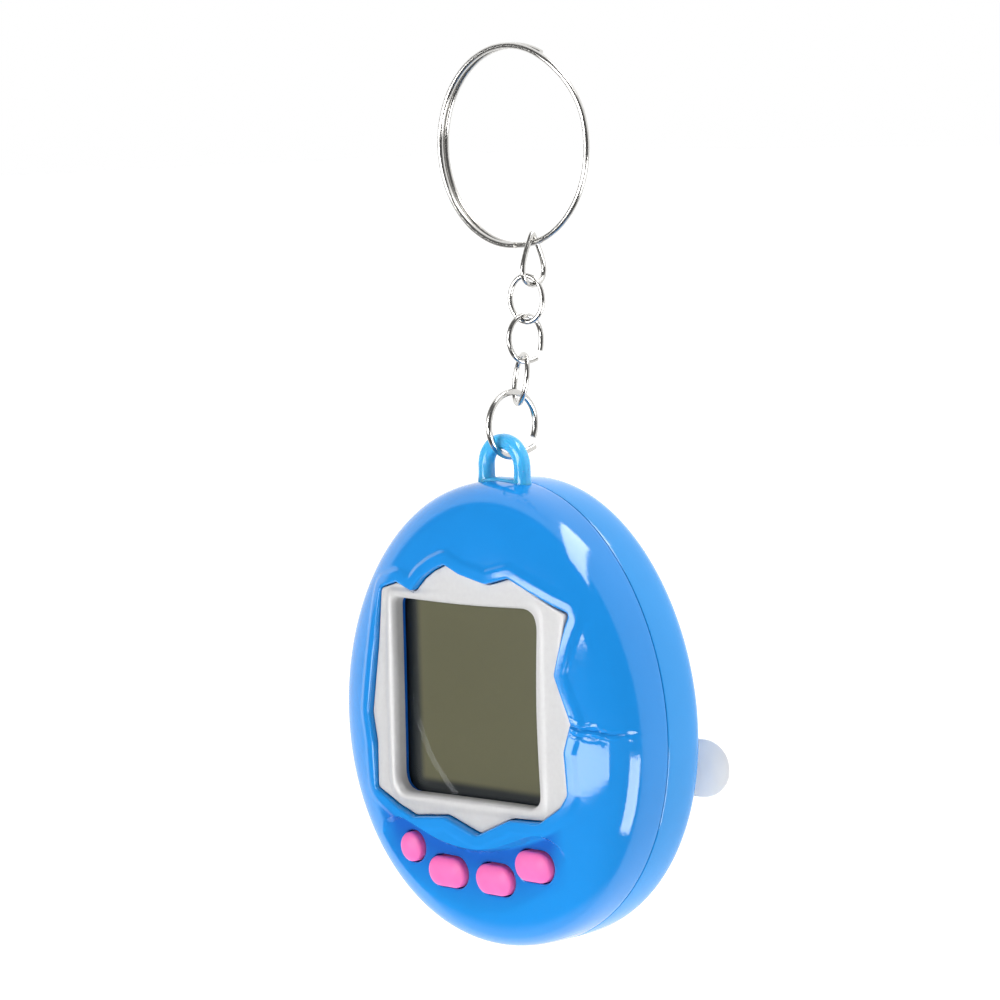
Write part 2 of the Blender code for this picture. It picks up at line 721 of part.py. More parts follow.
def strip_profile(points, thickness):
    """A bent sheet's outline in the XY plane from its centre line."""
    one, two = [], []
    for i, point in enumerate(points):
        before = Vector(points[max(i - 1, 0)])
        after = Vector(points[min(i + 1, len(points) - 1)])
        run = (after - before).normalized()
        side = Vector((-run.y, run.x)) * thickness / 2.0
        one.append(Vector(point) + side)
        two.append(Vector(point) - side)
    return one + two[::-1]


def contacts(mat, case, lid):
    for name, side in (("contact_left", -1), ("contact_right", 1)):
        x = side * CELL_X
        shape = [(-3.4, 0.2), (-0.3, 0.2), (-0.3, -1.45), (0.3, -1.45), (0.3, 0.2), (3.4, 0.2),
                 (3.4, 0.42), (-3.4, 0.42)]
        rings = [[(x + px, y, z) for px, y in shape] for z in (CELL_Z - 1.5, CELL_Z + 1.5)]
        solid(name, rings_mesh(rings), mat, case)
    path = [(9.0, 7.1), (-3.4, 7.1), (-5.6, 6.35), (-7.8, 6.1), (-9.2, 6.45)]
    shape = strip_profile(path, 0.2)
    rings = [[(p.x, p.y, z) for p in shape] for z in (CELL_Z - 2.2, CELL_Z + 2.2)]
    solid("contact_bridge", rings_mesh(rings), mat, lid)


def pull_tab(mat, anchor):
    """A flat plastic strip with a round outer end, lying along its own slope."""
    slope = math.radians(TAB_SLOPE)
    run = Vector((math.cos(slope), math.sin(slope), 0.0))
    across = Vector((-math.sin(slope), math.cos(slope), 0.0)) * (TAB_T / 2.0)
    tip = Vector((TAB_TIP[0], TAB_TIP[1], TAB_Z))
    flat = [(-TAB_LENGTH, -TAB_HALF)]
    for i in range(13):
        a = math.radians(-90.0 + 15.0 * i)
        flat.append((-TAB_HALF + TAB_HALF * math.cos(a), TAB_HALF * math.sin(a)))
    flat.append((-TAB_LENGTH, TAB_HALF))
    rings = []
    for side in (-1, 1):
        ring = [tip + run * u + Vector((0.0, 0.0, v)) + across * side for u, v in flat]
        rings.append([tuple(p) for p in ring])
    return solid("pull_tab", rings_mesh(rings), mat, anchor, tuple(anchor[1]))


def main():
    mats = {
        "blue": material("blue_plastic", (0.02, 0.27, 0.83), 0.22),
        "silver": material("silver_paint", (0.66, 0.66, 0.68), 0.4, 0.35),
        "button": material("pink_silicone", (0.94, 0.19, 0.53), 0.5),
        "film": material("clear_film", (0.85, 0.87, 0.85), 0.1, alpha=0.25),
        "lcd": material("olive_polariser", (0.13, 0.13, 0.08), 0.25),
        "glass": material("display_glass", (0.55, 0.6, 0.52), 0.05, alpha=0.5),
        "foil": material("reflector_foil", (0.6, 0.62, 0.58), 0.3, 0.8),
        "zebra": material("zebra_rubber", (0.6, 0.6, 0.58), 0.7),
        "board": material("board_laminate", (0.05, 0.25, 0.1), 0.4),
        "epoxy": material("black_epoxy", (0.01, 0.01, 0.01), 0.25),
        "cap": material("capacitor_sleeve", (0.05, 0.07, 0.15), 0.35),
        "resistor": material("resistor_body", (0.65, 0.5, 0.32), 0.5),
        "mat": material("mat_silicone", (0.9, 0.2, 0.52), 0.6),
        "carbon": material("carbon_rubber", (0.02, 0.02, 0.02), 0.8),
        "brass": material("buzzer_brass", (0.75, 0.55, 0.22), 0.3, 1.0),
        "ceramic": material("buzzer_ceramic", (0.8, 0.8, 0.75), 0.5),
        "red": material("red_insulation", (0.6, 0.02, 0.02), 0.45),
        "black": material("black_insulation", (0.01, 0.01, 0.01), 0.45),
        "cell": material("cell_steel", (0.6, 0.6, 0.6), 0.25, 1.0),
        "steel": material("bright_steel", (0.62, 0.61, 0.59), 0.2, 1.0),
        "tab": material("frosted_film", (0.78, 0.83, 0.9), 0.35, alpha=0.6),
        "contact": material("contact_plate", (0.65, 0.64, 0.6), 0.3, 1.0),
    }
    split_ring(mats["steel"])
    ring_bottom = RING_C[2] - RING_PATH_R * math.cos(math.asin(2.6 / RING_PATH_R))
    tops = [(2.6, 1.6, ring_bottom)]
    for _, centre, low, _, _, _, _ in LINKS:
        tops.append((centre[0], centre[1], low + LINK_WIRE_R))
    for (name, centre, low, high, azimuth, pinch, lean), spot in zip(LINKS, tops):
        body = pivot("pivot_" + name, spot)
        points = link_points(centre, low, high, azimuth, pinch, lean)
        wire(name, points, LINK_WIRE_R, mats["steel"], body, spot, closed=True, sides=1)
    jump_ring(mats["steel"], pivot("pivot_jump_ring", tops[4]))
    case = pivot("pivot_case", (0.0, LOOP_Y, JUMP_C[2] - JUMP_PATH_R))
    lid = case
    front_shell(mats["blue"], case)
    screen_bezel(mats["silver"], case)
    display(mats, case)
    circuit_board(mats["board"], case)
    chip_blob(mats["epoxy"], case)
    board_parts(mats, case)
    button_mat(mats["mat"], case)
    for name, x, z, half_w in BUTTONS:
        button(name, x, z, half_w, mats, case)
    buzzer(mats, case)
    cells(mats, case)
    contacts(mats["contact"], case, lid)
    rear_shell(mats["blue"], case)
    battery_door(mats["blue"], case, lid)
    screw("door_screw", mats["steel"], lid, *DOOR_SCREW, 8.15, 3.0, 1.6, 0.6, 0.7)
    for i, (x, z) in enumerate(CASE_SCREWS, 1):
        screw("case_screw_%d" % i, mats["steel"], case, x, z, 3.7, -4.5, 1.8, 0.75, 1.3)
    pull_tab(mats["tab"], pivot("pivot_pull_tab", (TAB_TIP[0], TAB_TIP[1], TAB_Z)))


main()
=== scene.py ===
"""Looks for the virtual pet key chain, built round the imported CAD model.

Shapes are drawn in millimetres from the centre of the case, as in the CAD source: +X to the
right of the face, +Y to the back, +Z up. A CAD node gives where that centre is.
"""
import math

import bmesh
import bpy
import numpy as np
from mathutils import Matrix, Vector
from mathutils.geometry import delaunay_2d_cdt


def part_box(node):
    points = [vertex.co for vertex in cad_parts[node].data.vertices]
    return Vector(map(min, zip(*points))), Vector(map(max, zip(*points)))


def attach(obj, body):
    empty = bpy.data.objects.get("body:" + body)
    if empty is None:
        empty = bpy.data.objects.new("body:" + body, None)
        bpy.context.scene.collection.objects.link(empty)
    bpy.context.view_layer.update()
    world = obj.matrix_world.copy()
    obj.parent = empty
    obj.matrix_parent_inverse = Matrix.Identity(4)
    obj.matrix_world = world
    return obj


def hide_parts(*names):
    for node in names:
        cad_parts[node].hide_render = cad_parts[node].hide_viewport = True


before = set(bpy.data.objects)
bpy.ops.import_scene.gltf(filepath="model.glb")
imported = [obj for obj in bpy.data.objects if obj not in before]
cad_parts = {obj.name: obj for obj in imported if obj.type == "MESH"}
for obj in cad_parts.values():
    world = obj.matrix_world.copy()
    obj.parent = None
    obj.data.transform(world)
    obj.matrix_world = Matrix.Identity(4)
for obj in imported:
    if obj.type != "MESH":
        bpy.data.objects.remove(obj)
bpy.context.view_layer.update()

MM = 0.001
SCENE = bpy.context.scene
glass_low, glass_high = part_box("lcd_front_glass")
CENTRE = Vector(((glass_low.x + glass_high.x) / 2, glass_low.y + 6.42 * MM,
                 glass_low.z + 12.5 * MM))

# the case's own sizes, as in the CAD; a half is its depth, two powers that round it, and the
# height at which it is cut flat
HALF_W, HALF_H, TAPER = 24.8, 28.5, 0.046
FRONT = (9.8, 5.0, 3.66, 99.0)
BACK = (9.1, 2.75, 6.2, 8.95)
WALL, SEAM = 1.7, 0.05
SEAM_DEEP, SEAM_MID = 0.9974, 0.9989    # outline scales down the seam's groove
INNER_Y = -6.9
POCKET_Y, FRAME_BACK_Y, FRAME_Y = -8.0, -8.1, -8.9
# the pocket's lip: its rise, its whole width, the width of its outer slope and its edge radius
LIP_RISE, LIP_WIDTH, LIP_SLOPE, LIP_EDGE = 0.35, 2.1, 0.8, 0.34
FACE_C = (0.0, 2.2)
FRAME_OUTLINE = (
    (-14.4, 15.1), (-11.5, 16.0), (-8.3, 15.1), (-6.5, 16.85), (-4.7, 17.95), (-2.7, 18.75),
    (0.05, 17.7), (2.3, 17.25), (4.5, 16.8), (8.05, 17.75), (11.2, 16.45), (14.7, 15.0),
    (17.0, 14.1), (15.4, 6.9), (17.8, 1.35), (16.6, -2.1), (16.8, -7.25), (15.6, -8.9),
    (12.5, -10.9), (7.4, -11.15), (1.9, -13.6), (-3.6, -11.9), (-9.3, -12.55), (-12.1, -11.6),
    (-16.05, -9.75), (-15.97, -4.2), (-16.64, -0.4), (-15.2, 8.25),
)
WINDOW_OUTLINE = (
    (-12.2, 14.1), (0.0, 13.9), (12.3, 14.35), (11.5, 2.2), (12.1, -9.5), (0.0, -9.65),
    (-12.5, -9.9), (-12.3, 2.2),
)
WINDOW_RADII = (1.0, 6.0, 2.9, 6.0, 2.0, 6.0, 2.6, 6.0)
SHELF_Y = -8.6
SHELF_EDGE = (
    (-15.6, -15.0), (-14.6, -13.7), (-12.2, -12.9), (-9.5, -13.4), (-5.0, -14.9), (0.0, -15.5),
    (4.0, -15.1), (7.5, -14.0), (10.5, -12.9), (12.8, -12.6), (14.9, -13.4), (16.0, -14.6),
)
CRACK = ((17.9, 1.25), (19.3, 0.75), (20.9, 0.7), (22.4, 0.3), (23.8, 0.25), (24.7, 0.05))
# a button: node, X, Z and half its width
BUTTON_R = 1.83
BUTTONS = (
    ("button_reset", -10.3, -16.6, 1.83), ("button_decide", -4.15, -19.0, 3.1),
    ("button_select", 4.0, -19.0, 3.0), ("button_cancel", 10.7, -16.6, 2.95),
)
LOOP_Y, LOOP_Z, LOOP_HALF, LOOP_R = -1.3, 30.1, 3.05, 0.95
RING_C, RING_PATH_R, RING_WIRE_R = (0.0, 1.6, 68.7), 12.0, 0.375
RING_PITCH, RING_START, RING_TURN = 0.95, 23.6, 566.0    # between strands; degrees
LINK_R, LINK_W = 0.33, 5.3
# a link: body, centre's X and Y, lowest and highest Z, turn about Z, pinch of its top, lean
LINKS = (
    ("link_1", (2.6, 2.0), 51.6, 58.45, 101.5, 0.8, 0.0),
    ("link_2", (1.6, 1.7), 47.12, 53.36, 12.0, 0.0, 0.0),
    ("link_3", (1.2, 1.7), 42.3, 48.57, 78.0, 0.0, 0.0),
    ("link_4", (0.7, 1.25), 37.2, 43.86, -28.0, 0.0, 0.14),
)
JUMP_C, JUMP_PATH_R, JUMP_R = (0.0, 0.2, 35.1), 3.9, 0.4
DOOR_Y = 7.3
DOOR_SCREW = (0.0, 2.6)
CASE_SCREWS = ((-8.0, 21.5), (8.0, 21.5), (17.2, -12.6), (-17.2, -12.6))
BUZZER_Z = 14.0
TAB_SLOPE, TAB_TIP, TAB_Z = math.radians(16.0), (24.45, 11.05), -6.3
TAB_HALF, TAB_T, TAB_LENGTH = 3.55, 0.26, 18.2


# ---- materials ----


def add_node(tree, kind, **values):
    """A new shader node with its input sockets set; an underscore stands for a space."""
    node = tree.nodes.new("ShaderNode" + kind)
    set_inputs(node, **values)
    return node


def set_inputs(node, **values):
    for name, value in values.items():
        node.inputs[name.replace("_", " ")].default_value = value


def coordinates(tree, kind):
    """X, Y and Z of the surface point, as outputs by name."""
    coord = add_node(tree, "TexCoord")
    parts = add_node(tree, "SeparateXYZ")
    tree.links.new(coord.outputs[kind], parts.inputs[0])
    return parts.outputs


def noise(tree, scale, detail=3.0, rough=0.5, stretch=(1.0, 1.0, 1.0)):
    """A noise texture in object space; scale counts features per metre."""
    coord = add_node(tree, "TexCoord")
    mapping = add_node(tree, "Mapping", Scale=stretch)
    tree.links.new(coord.outputs["Object"], mapping.inputs["Vector"])
    tex = add_node(tree, "TexNoise", Scale=scale, Detail=detail, Roughness=rough)
    tree.links.new(mapping.outputs["Vector"], tex.inputs["Vector"])
    return tex.outputs["Fac"]


def ramp(tree, fac, low, high, start=0.3, end=0.7, eased=False):
    """A value that goes from low to high as fac goes from start to end."""
    node = add_node(tree, "MapRange", From_Min=start, From_Max=end, To_Min=low, To_Max=high)
    if eased:
        node.interpolation_type = "SMOOTHSTEP"
    tree.links.new(fac, node.inputs["Value"])
    return node.outputs["Result"]


def blend_colour(tree, fac, one, two):
    """Goes from one colour to the other; each is a socket or three numbers."""
    node = add_node(tree, "Mix")
    node.data_type = "RGBA"
    for socket, colour in (("A", one), ("B", two)):
        if isinstance(colour, tuple):
            node.inputs[socket].default_value = (*colour, 1.0)
        else:
            tree.links.new(colour, node.inputs[socket])
    tree.links.new(fac, node.inputs["Factor"])
    return node.outputs["Result"]


def math_node(tree, operation, one, two):
    """One maths node; each input is a socket or a number."""
    node = add_node(tree, "Math")
    node.operation = operation
    for socket, value in enumerate((one, two)):
        if isinstance(value, float):
            node.inputs[socket].default_value = value
        else:
            tree.links.new(value, node.inputs[socket])
    return node.outputs[0]


def bump(tree, shader, height, strength, distance):
    node = add_node(tree, "Bump", Strength=strength, Distance=distance)
    tree.links.new(height, node.inputs["Height"])
    tree.links.new(node.outputs["Normal"], shader.inputs["Normal"])


def new_material(name):
    mat = bpy.data.materials.new(name)
    mat.use_nodes = True
    return mat, mat.node_tree, mat.node_tree.nodes["Principled BSDF"]


def finish(name, one, two, patch, rough, rough_scale=2500.0, metallic=0.0, coat=0.0, sub=0.0,
           grain=None, stretch=(1.0, 1.0, 1.0), transmission=0.0):
    """A Principled material whose colour, gloss and fine relief vary with noise.

    patch and rough_scale are noise scales, rough is a range of roughness, and grain is the
    relief's scale, strength and distance.
    """
    mat, tree, shader = new_material(name)
    set_inputs(shader, Metallic=metallic, Coat_Weight=coat, Coat_Roughness=0.03,
               Transmission_Weight=transmission)
    if sub:
        set_inputs(shader, Subsurface_Weight=sub, Subsurface_Radius=(1.0, 0.35, 0.5),
                   Subsurface_Scale=0.0012)
    tone = ramp(tree, noise(tree, patch, stretch=stretch), 0.0, 1.0)
    tree.links.new(blend_colour(tree, tone, one, two), shader.inputs["Base Color"])
    gloss = ramp(tree, noise(tree, rough_scale, 5.0, 0.6, stretch), rough[0], rough[1])
    tree.links.new(gloss, shader.inputs["Roughness"])
    if grain:
        scale, strength, distance = grain
        bump(tree, shader, noise(tree, scale, 2.0, 0.5, stretch), strength, distance)
    mat.diffuse_color = (*one, 1.0)
    return mat


def film_material(name, tint, gloss, ior):
    """Clear sheet: see-through, with a mirror share that grows at low angles."""
    mat, tree, shader = new_material(name)
    tree.nodes.remove(shader)
    clear = add_node(tree, "BsdfTransparent", Color=(*tint, 1.0))
    mirror = add_node(tree, "BsdfGlossy", Color=(0.9, 0.92, 0.95, 1.0))
    rough = ramp(tree, noise(tree, 5000.0, 4.0), gloss, gloss * 1.2)
    tree.links.new(rough, mirror.inputs["Roughness"])
    fresnel = add_node(tree, "Fresnel", IOR=ior)
    mix = add_node(tree, "MixShader")
    tree.links.new(fresnel.outputs["Fac"], mix.inputs[0])
    tree.links.new(clear.outputs[0], mix.inputs[1])
    tree.links.new(mirror.outputs[0], mix.inputs[2])
    tree.links.new(mix.outputs[0], tree.nodes["Material Output"].inputs["Surface"])
    return mat


def paint_recess_shade(mat):
    """Painted shade: deeper blue just under the upper edge of the button shelf and inside the
    pocket, where the step and the recess would be in shade.
    """
    tree = mat.node_tree
    shader = tree.nodes["Principled BSDF"]
    base = shader.inputs["Base Color"].links[0].from_socket
    at = coordinates(tree, "Object")
    across = math_node(tree, "SUBTRACT", at["X"], CENTRE.x)
    square = math_node(tree, "MULTIPLY", across, across)
    # the shelf's upper edge is close to a parabola
    edge = math_node(tree, "ADD", math_node(tree, "MULTIPLY", square, 17.0), CENTRE.z - 15.4 * MM)
    below = math_node(tree, "SUBTRACT", edge, at["Z"])
    start = ramp(tree, below, 0.0, 1.0, 0.0, 0.5 * MM)
    fade = ramp(tree, below, 1.0, 0.0, 1.5 * MM, 7.5 * MM)
    side = ramp(tree, square, 1.0, 0.0, (13.2 * MM) ** 2, (16.0 * MM) ** 2)
    shelf = math_node(tree, "MULTIPLY", math_node(tree, "MULTIPLY", start, fade), side)
    # painted shade inside the pocket: the surfaces behind its opening, near the display
    deep = ramp(tree, at["Y"], 0.0, 1.0, CENTRE.y - 8.2 * MM, CENTRE.y - 8.0 * MM)
    core = math_node(tree, "COMPARE", at["Z"], CENTRE.z - 1.0 * MM)
    core.node.inputs[2].default_value = 18.5 * MM
    near = math_node(tree, "LESS_THAN", square, (13.5 * MM) ** 2)
    pocket = math_node(tree, "MULTIPLY", deep, math_node(tree, "MULTIPLY", core, near))
    painted_shade = math_node(tree, "MAXIMUM", shelf, pocket)
    # the painted shade's colour
    shaded = blend_colour(tree, painted_shade, base, (0.008, 0.105, 0.46))
    tree.links.new(shaded, shader.inputs["Base Color"])
    return mat


def display_material():
    """Olive display, near black along the left and lower edges of the opening and slightly darker
    towards the top.
    """
    mat, tree, shader = new_material("olive_polariser")
    set_inputs(shader, Specular_IOR_Level=0.35)
    at = coordinates(tree, "Generated")
    edges = [ramp(tree, at[axis], 0.0, 1.0, start, end, eased=True)
             for axis, start, end in (("X", 0.095, 0.145), ("Z", 0.075, 0.115))]
    both = math_node(tree, "MULTIPLY", *edges)
    sheet = blend_colour(tree, at["Z"], (0.114, 0.110, 0.061), (0.110, 0.106, 0.058))
    shown = blend_colour(tree, both, (0.014, 0.018, 0.020), sheet)
    tree.links.new(shown, shader.inputs["Base Color"])
    tree.links.new(ramp(tree, noise(tree, 5000.0), 0.3, 0.32), shader.inputs["Roughness"])
    mat.diffuse_color = (0.15, 0.15, 0.09, 1.0)
    return mat


MATS = {
    "blue": finish(
        "blue_plastic", (0.014, 0.246, 0.635), (0.017, 0.26, 0.66), 90.0, (0.07, 0.12), 1500.0,
        grain=(2600.0, 0.03, 0.0002)),
    # the front half's plastic, with painted shade on its button shelf and in its pocket
    "front_blue": paint_recess_shade(finish(
        "front_blue_plastic", (0.008, 0.213, 0.60), (0.010, 0.226, 0.63), 90.0, (0.07, 0.12),
        1500.0, grain=(2600.0, 0.03, 0.0002))),
    # the loop's plastic: subsurface lets light through its thin walls, and its lighter blue is
    # painted glow of that light
    "loop_blue_painted_glow": finish(
        "thin_blue_plastic", (0.05, 0.40, 0.74), (0.065, 0.43, 0.76), 160.0, (0.1, 0.16), 1500.0,
        sub=0.35, grain=(2600.0, 0.03, 0.0002)),
    "silver": finish(
        "silver_paint", (0.50, 0.495, 0.50), (0.525, 0.525, 0.525), 1600.0, (0.34, 0.46), 3200.0,
        metallic=0.15, grain=(6000.0, 0.03, 0.0001)),
    "pink": finish(
        "pink_silicone", (0.77, 0.12, 0.40), (0.80, 0.135, 0.43), 500.0, (0.36, 0.5),
        sub=0.25, grain=(8000.0, 0.06, 0.0001)),
    "steel": finish(
        "plated_steel", (0.62, 0.61, 0.59), (0.54, 0.53, 0.51), 900.0, (0.18, 0.28), 1600.0,
        metallic=1.0, grain=(1200.0, 0.03, 0.0002)),
    "screw": finish(
        "screw_steel", (0.55, 0.54, 0.53), (0.42, 0.41, 0.40), 1200.0, (0.2, 0.4), 2600.0,
        metallic=1.0, grain=(6000.0, 0.15, 0.0001)),
    "lcd": display_material(),
    "film": film_material("clear_film", (0.97, 0.975, 0.97), 0.08, 1.17),
    "glass": film_material("display_glass", (0.9, 0.95, 0.92), 0.02, 1.5),
    "foil": finish(
        "reflector_foil", (0.62, 0.63, 0.6), (0.7, 0.71, 0.68), 700.0, (0.25, 0.4), 3000.0,
        metallic=0.8),
    "zebra": finish(
        "zebra_rubber", (0.62, 0.62, 0.6), (0.05, 0.05, 0.05), 4200.0, (0.6, 0.8), 2000.0,
        stretch=(1.0, 0.02, 0.02)),
    "board": finish(
        "board_laminate", (0.03, 0.2, 0.07), (0.05, 0.27, 0.1), 800.0, (0.3, 0.5),
        coat=0.2, grain=(3500.0, 0.2, 0.0001)),
    "epoxy": finish(
        "black_epoxy", (0.012, 0.012, 0.013), (0.02, 0.02, 0.02), 700.0, (0.12, 0.3), 1200.0,
        grain=(900.0, 0.2, 0.0003)),
    "sleeve": finish(
        "capacitor_sleeve", (0.03, 0.05, 0.12), (0.05, 0.07, 0.16), 900.0, (0.3, 0.4), 2000.0),
    "resistor": finish(
        "resistor_body", (0.62, 0.47, 0.3), (0.7, 0.55, 0.36), 1500.0, (0.4, 0.55)),
    "carbon": finish(
        "carbon_rubber", (0.018, 0.018, 0.018), (0.03, 0.03, 0.03), 2500.0, (0.7, 0.85), 4000.0,
        grain=(6000.0, 0.2, 0.0001)),
    "brass": finish(
        "buzzer_brass", (0.72, 0.5, 0.2), (0.62, 0.42, 0.16), 600.0, (0.22, 0.4), metallic=1.0),
    "ceramic": finish(
        "buzzer_ceramic", (0.78, 0.77, 0.72), (0.7, 0.69, 0.64), 1200.0, (0.45, 0.6)),
    "red": finish(
        "red_insulation", (0.55, 0.02, 0.02), (0.62, 0.03, 0.02), 900.0, (0.35, 0.5)),
    "black": finish(
        "black_insulation", (0.012, 0.012, 0.012), (0.02, 0.02, 0.02), 900.0, (0.35, 0.5)),
    "cell": finish(
        "cell_steel", (0.62, 0.62, 0.61), (0.54, 0.54, 0.53), 500.0, (0.18, 0.3), 3000.0,
        metallic=1.0, grain=(5000.0, 0.08, 0.0001)),
    "contact": finish(
        "contact_plate", (0.66, 0.65, 0.61), (0.57, 0.55, 0.5), 700.0, (0.22, 0.38), metallic=1.0),
    "tab": finish(
        "frosted_film", (0.95, 0.935, 0.92), (0.97, 0.96, 0.945), 350.0, (0.35, 0.5),
        transmission=0.3, grain=(7000.0, 0.1, 0.0001)),
}


# ---- outlines and surfaces ----


def soften(points, radius, steps=5, span=0.3):
    """A closed outline with curved corners and its straight runs cut into short ones."""
    out = []
    count = len(points)
    radii = radius if isinstance(radius, tuple) else (radius,) * count
    for i in range(count):
        here = Vector(points[i])
        back = Vector(points[i - 1]) - here
        ahead = Vector(points[(i + 1) % count]) - here
        r = min(radii[i], back.length * 0.47, ahead.length * 0.47)
        first = here + back.normalized() * r
        last = here + ahead.normalized() * r
        for k in range(steps + 1):
            s = k / steps
            out.append(first.lerp(here, s).lerp(here.lerp(last, s), s))
        after = Vector(points[(i + 2) % count])
        corner = Vector(points[(i + 1) % count])
        r_next = min(radii[(i + 1) % count], ahead.length * 0.47, (after - corner).length * 0.47)
        stop = corner - ahead.normalized() * r_next
        cuts = max(1, round((stop - last).length / span))
        out += [last.lerp(stop, k / cuts) for k in range(1, cuts)]
    return np.array([(p.x, p.y) for p in out])


def spline(points, cuts=6):
    """A smooth open line through points."""
    p = np.array(points, float)
    p = np.vstack([2 * p[0] - p[1], p, 2 * p[-1] - p[-2]])
    out = []
    for i in range(1, len(p) - 2):
        for k in range(cuts):
            t = k / cuts
            out.append(0.5 * (2 * p[i] + (p[i + 1] - p[i - 1]) * t
                              + (2 * p[i - 1] - 5 * p[i] + 4 * p[i + 1] - p[i + 2]) * t * t
                              + (3 * p[i] - p[i - 1] - 3 * p[i + 1] + p[i + 2]) * t ** 3))
    out.append(p[-2])
    return np.array(out)


def oblong(x, z, half_w, radius, grow=0.0, steps=20):
    """Two half circles joined by straight sides, or a circle, going anticlockwise."""
    run = max(half_w - radius, 0.0)
    r = radius + grow
    side = int(max(1, round(2 * run / 0.3)))
    out = []
    for sign, start in ((1, -90.0), (-1, 90.0)):
        for k in range(steps + 1):
            a = math.radians(start + 180.0 * k / steps)
            out.append((x + sign * run + r * math.cos(a), z + r * math.sin(a)))
        if run:
            out += [(x + sign * run * (1 - 2 * k / side), z + sign * r) for k in range(1, side)]
        else:
            out.pop()
    return np.array(out)


def circle(x, z, radius, steps=48):
    a = np.arange(steps) * 2 * np.pi / steps
    return np.stack([x + radius * np.cos(a), z + radius * np.sin(a)], 1)


def offset(loop, distance):
    """Moves an anticlockwise outline outwards."""
    ahead = np.roll(loop, -1, 0) - np.roll(loop, 1, 0)
    ahead /= np.linalg.norm(ahead, axis=1)[:, None]
    return loop + distance * np.stack([ahead[:, 1], -ahead[:, 0]], 1)


def line_distance(line, x, z, closed=True):
    """Distance of points to a polyline."""
    ends = np.roll(line, -1, 0) if closed else line[1:]
    starts = line if closed else line[:-1]
    best = np.full(x.shape, 1e9)
    for a, b in zip(starts, ends):
        d = b - a
        t = np.clip(((x - a[0]) * d[0] + (z - a[1]) * d[1]) / (d @ d), 0.0, 1.0)
        best = np.minimum(best, np.hypot(x - a[0] - t * d[0], z - a[1] - t * d[1]))
    return best


def inside(loop, x, z):
    """Which points lie inside a closed outline."""
    hit = np.zeros(x.shape, bool)
    for (ax, az), (bx, bz) in zip(loop, np.roll(loop, -1, 0)):
        if az != bz:
            hit ^= ((az > z) != (bz > z)) & (x < (bx - ax) * (z - az) / (bz - az) + ax)
    return hit


def smooth(t):
    t = np.clip(t, 0.0, 1.0)
    return t * t * (3.0 - 2.0 * t)


def level(x, z):
    """1 on the egg's outline, 0 at its centre."""
    r = np.hypot(x / HALF_W, z / HALF_H)
    for _ in range(10):
        s = z / (np.maximum(r, 1e-9) * HALF_H)
        r = np.hypot(x / (HALF_W * (1.0 - TAPER * s)), z / HALF_H)
    return r


def egg(turn, r, half_w=HALF_W, half_h=HALF_H):
    return np.stack([r * half_w * np.cos(turn) * (1.0 - TAPER * np.sin(turn)),
                     r * half_h * np.sin(turn)], -1)


class Half:
    """One half of the egg, laid flat so that its steep edge has room for evenly spaced points."""

    def __init__(self, depth, p, q, flat, sign):
        phi = np.linspace(0.0, math.pi / 2, 6001)
        self.r = np.sin(phi) ** (2.0 / p)
        self.y = sign * np.minimum(depth * np.maximum(np.cos(phi), 0.0) ** (2.0 / q), flat)
        size = 26.6    # the outline's mean half size
        run = np.hypot(np.diff(self.r) * size, np.diff(self.y)) / size
        self.w = np.concatenate([[0.0], np.cumsum(run)])

    def flatten(self, x, z):
        r = level(x, z)
        k = np.interp(r, self.r, self.w) / np.maximum(r, 1e-9)
        return x * k, z * k

    def lift(self, u, v):
        w = level(u, v)
        r = np.interp(w, self.w, self.r)
        k = np.where(w > 1e-6, r / np.maximum(w, 1e-9), 1.0)
        return u * k, v * k, np.interp(w, self.w, self.y)

    def edge(self, y):
        """The flat outline scale where the surface is y from the seam plane."""
        order = np.argsort(np.abs(self.y))
        return np.interp(abs(y), np.abs(self.y)[order], self.w[order])


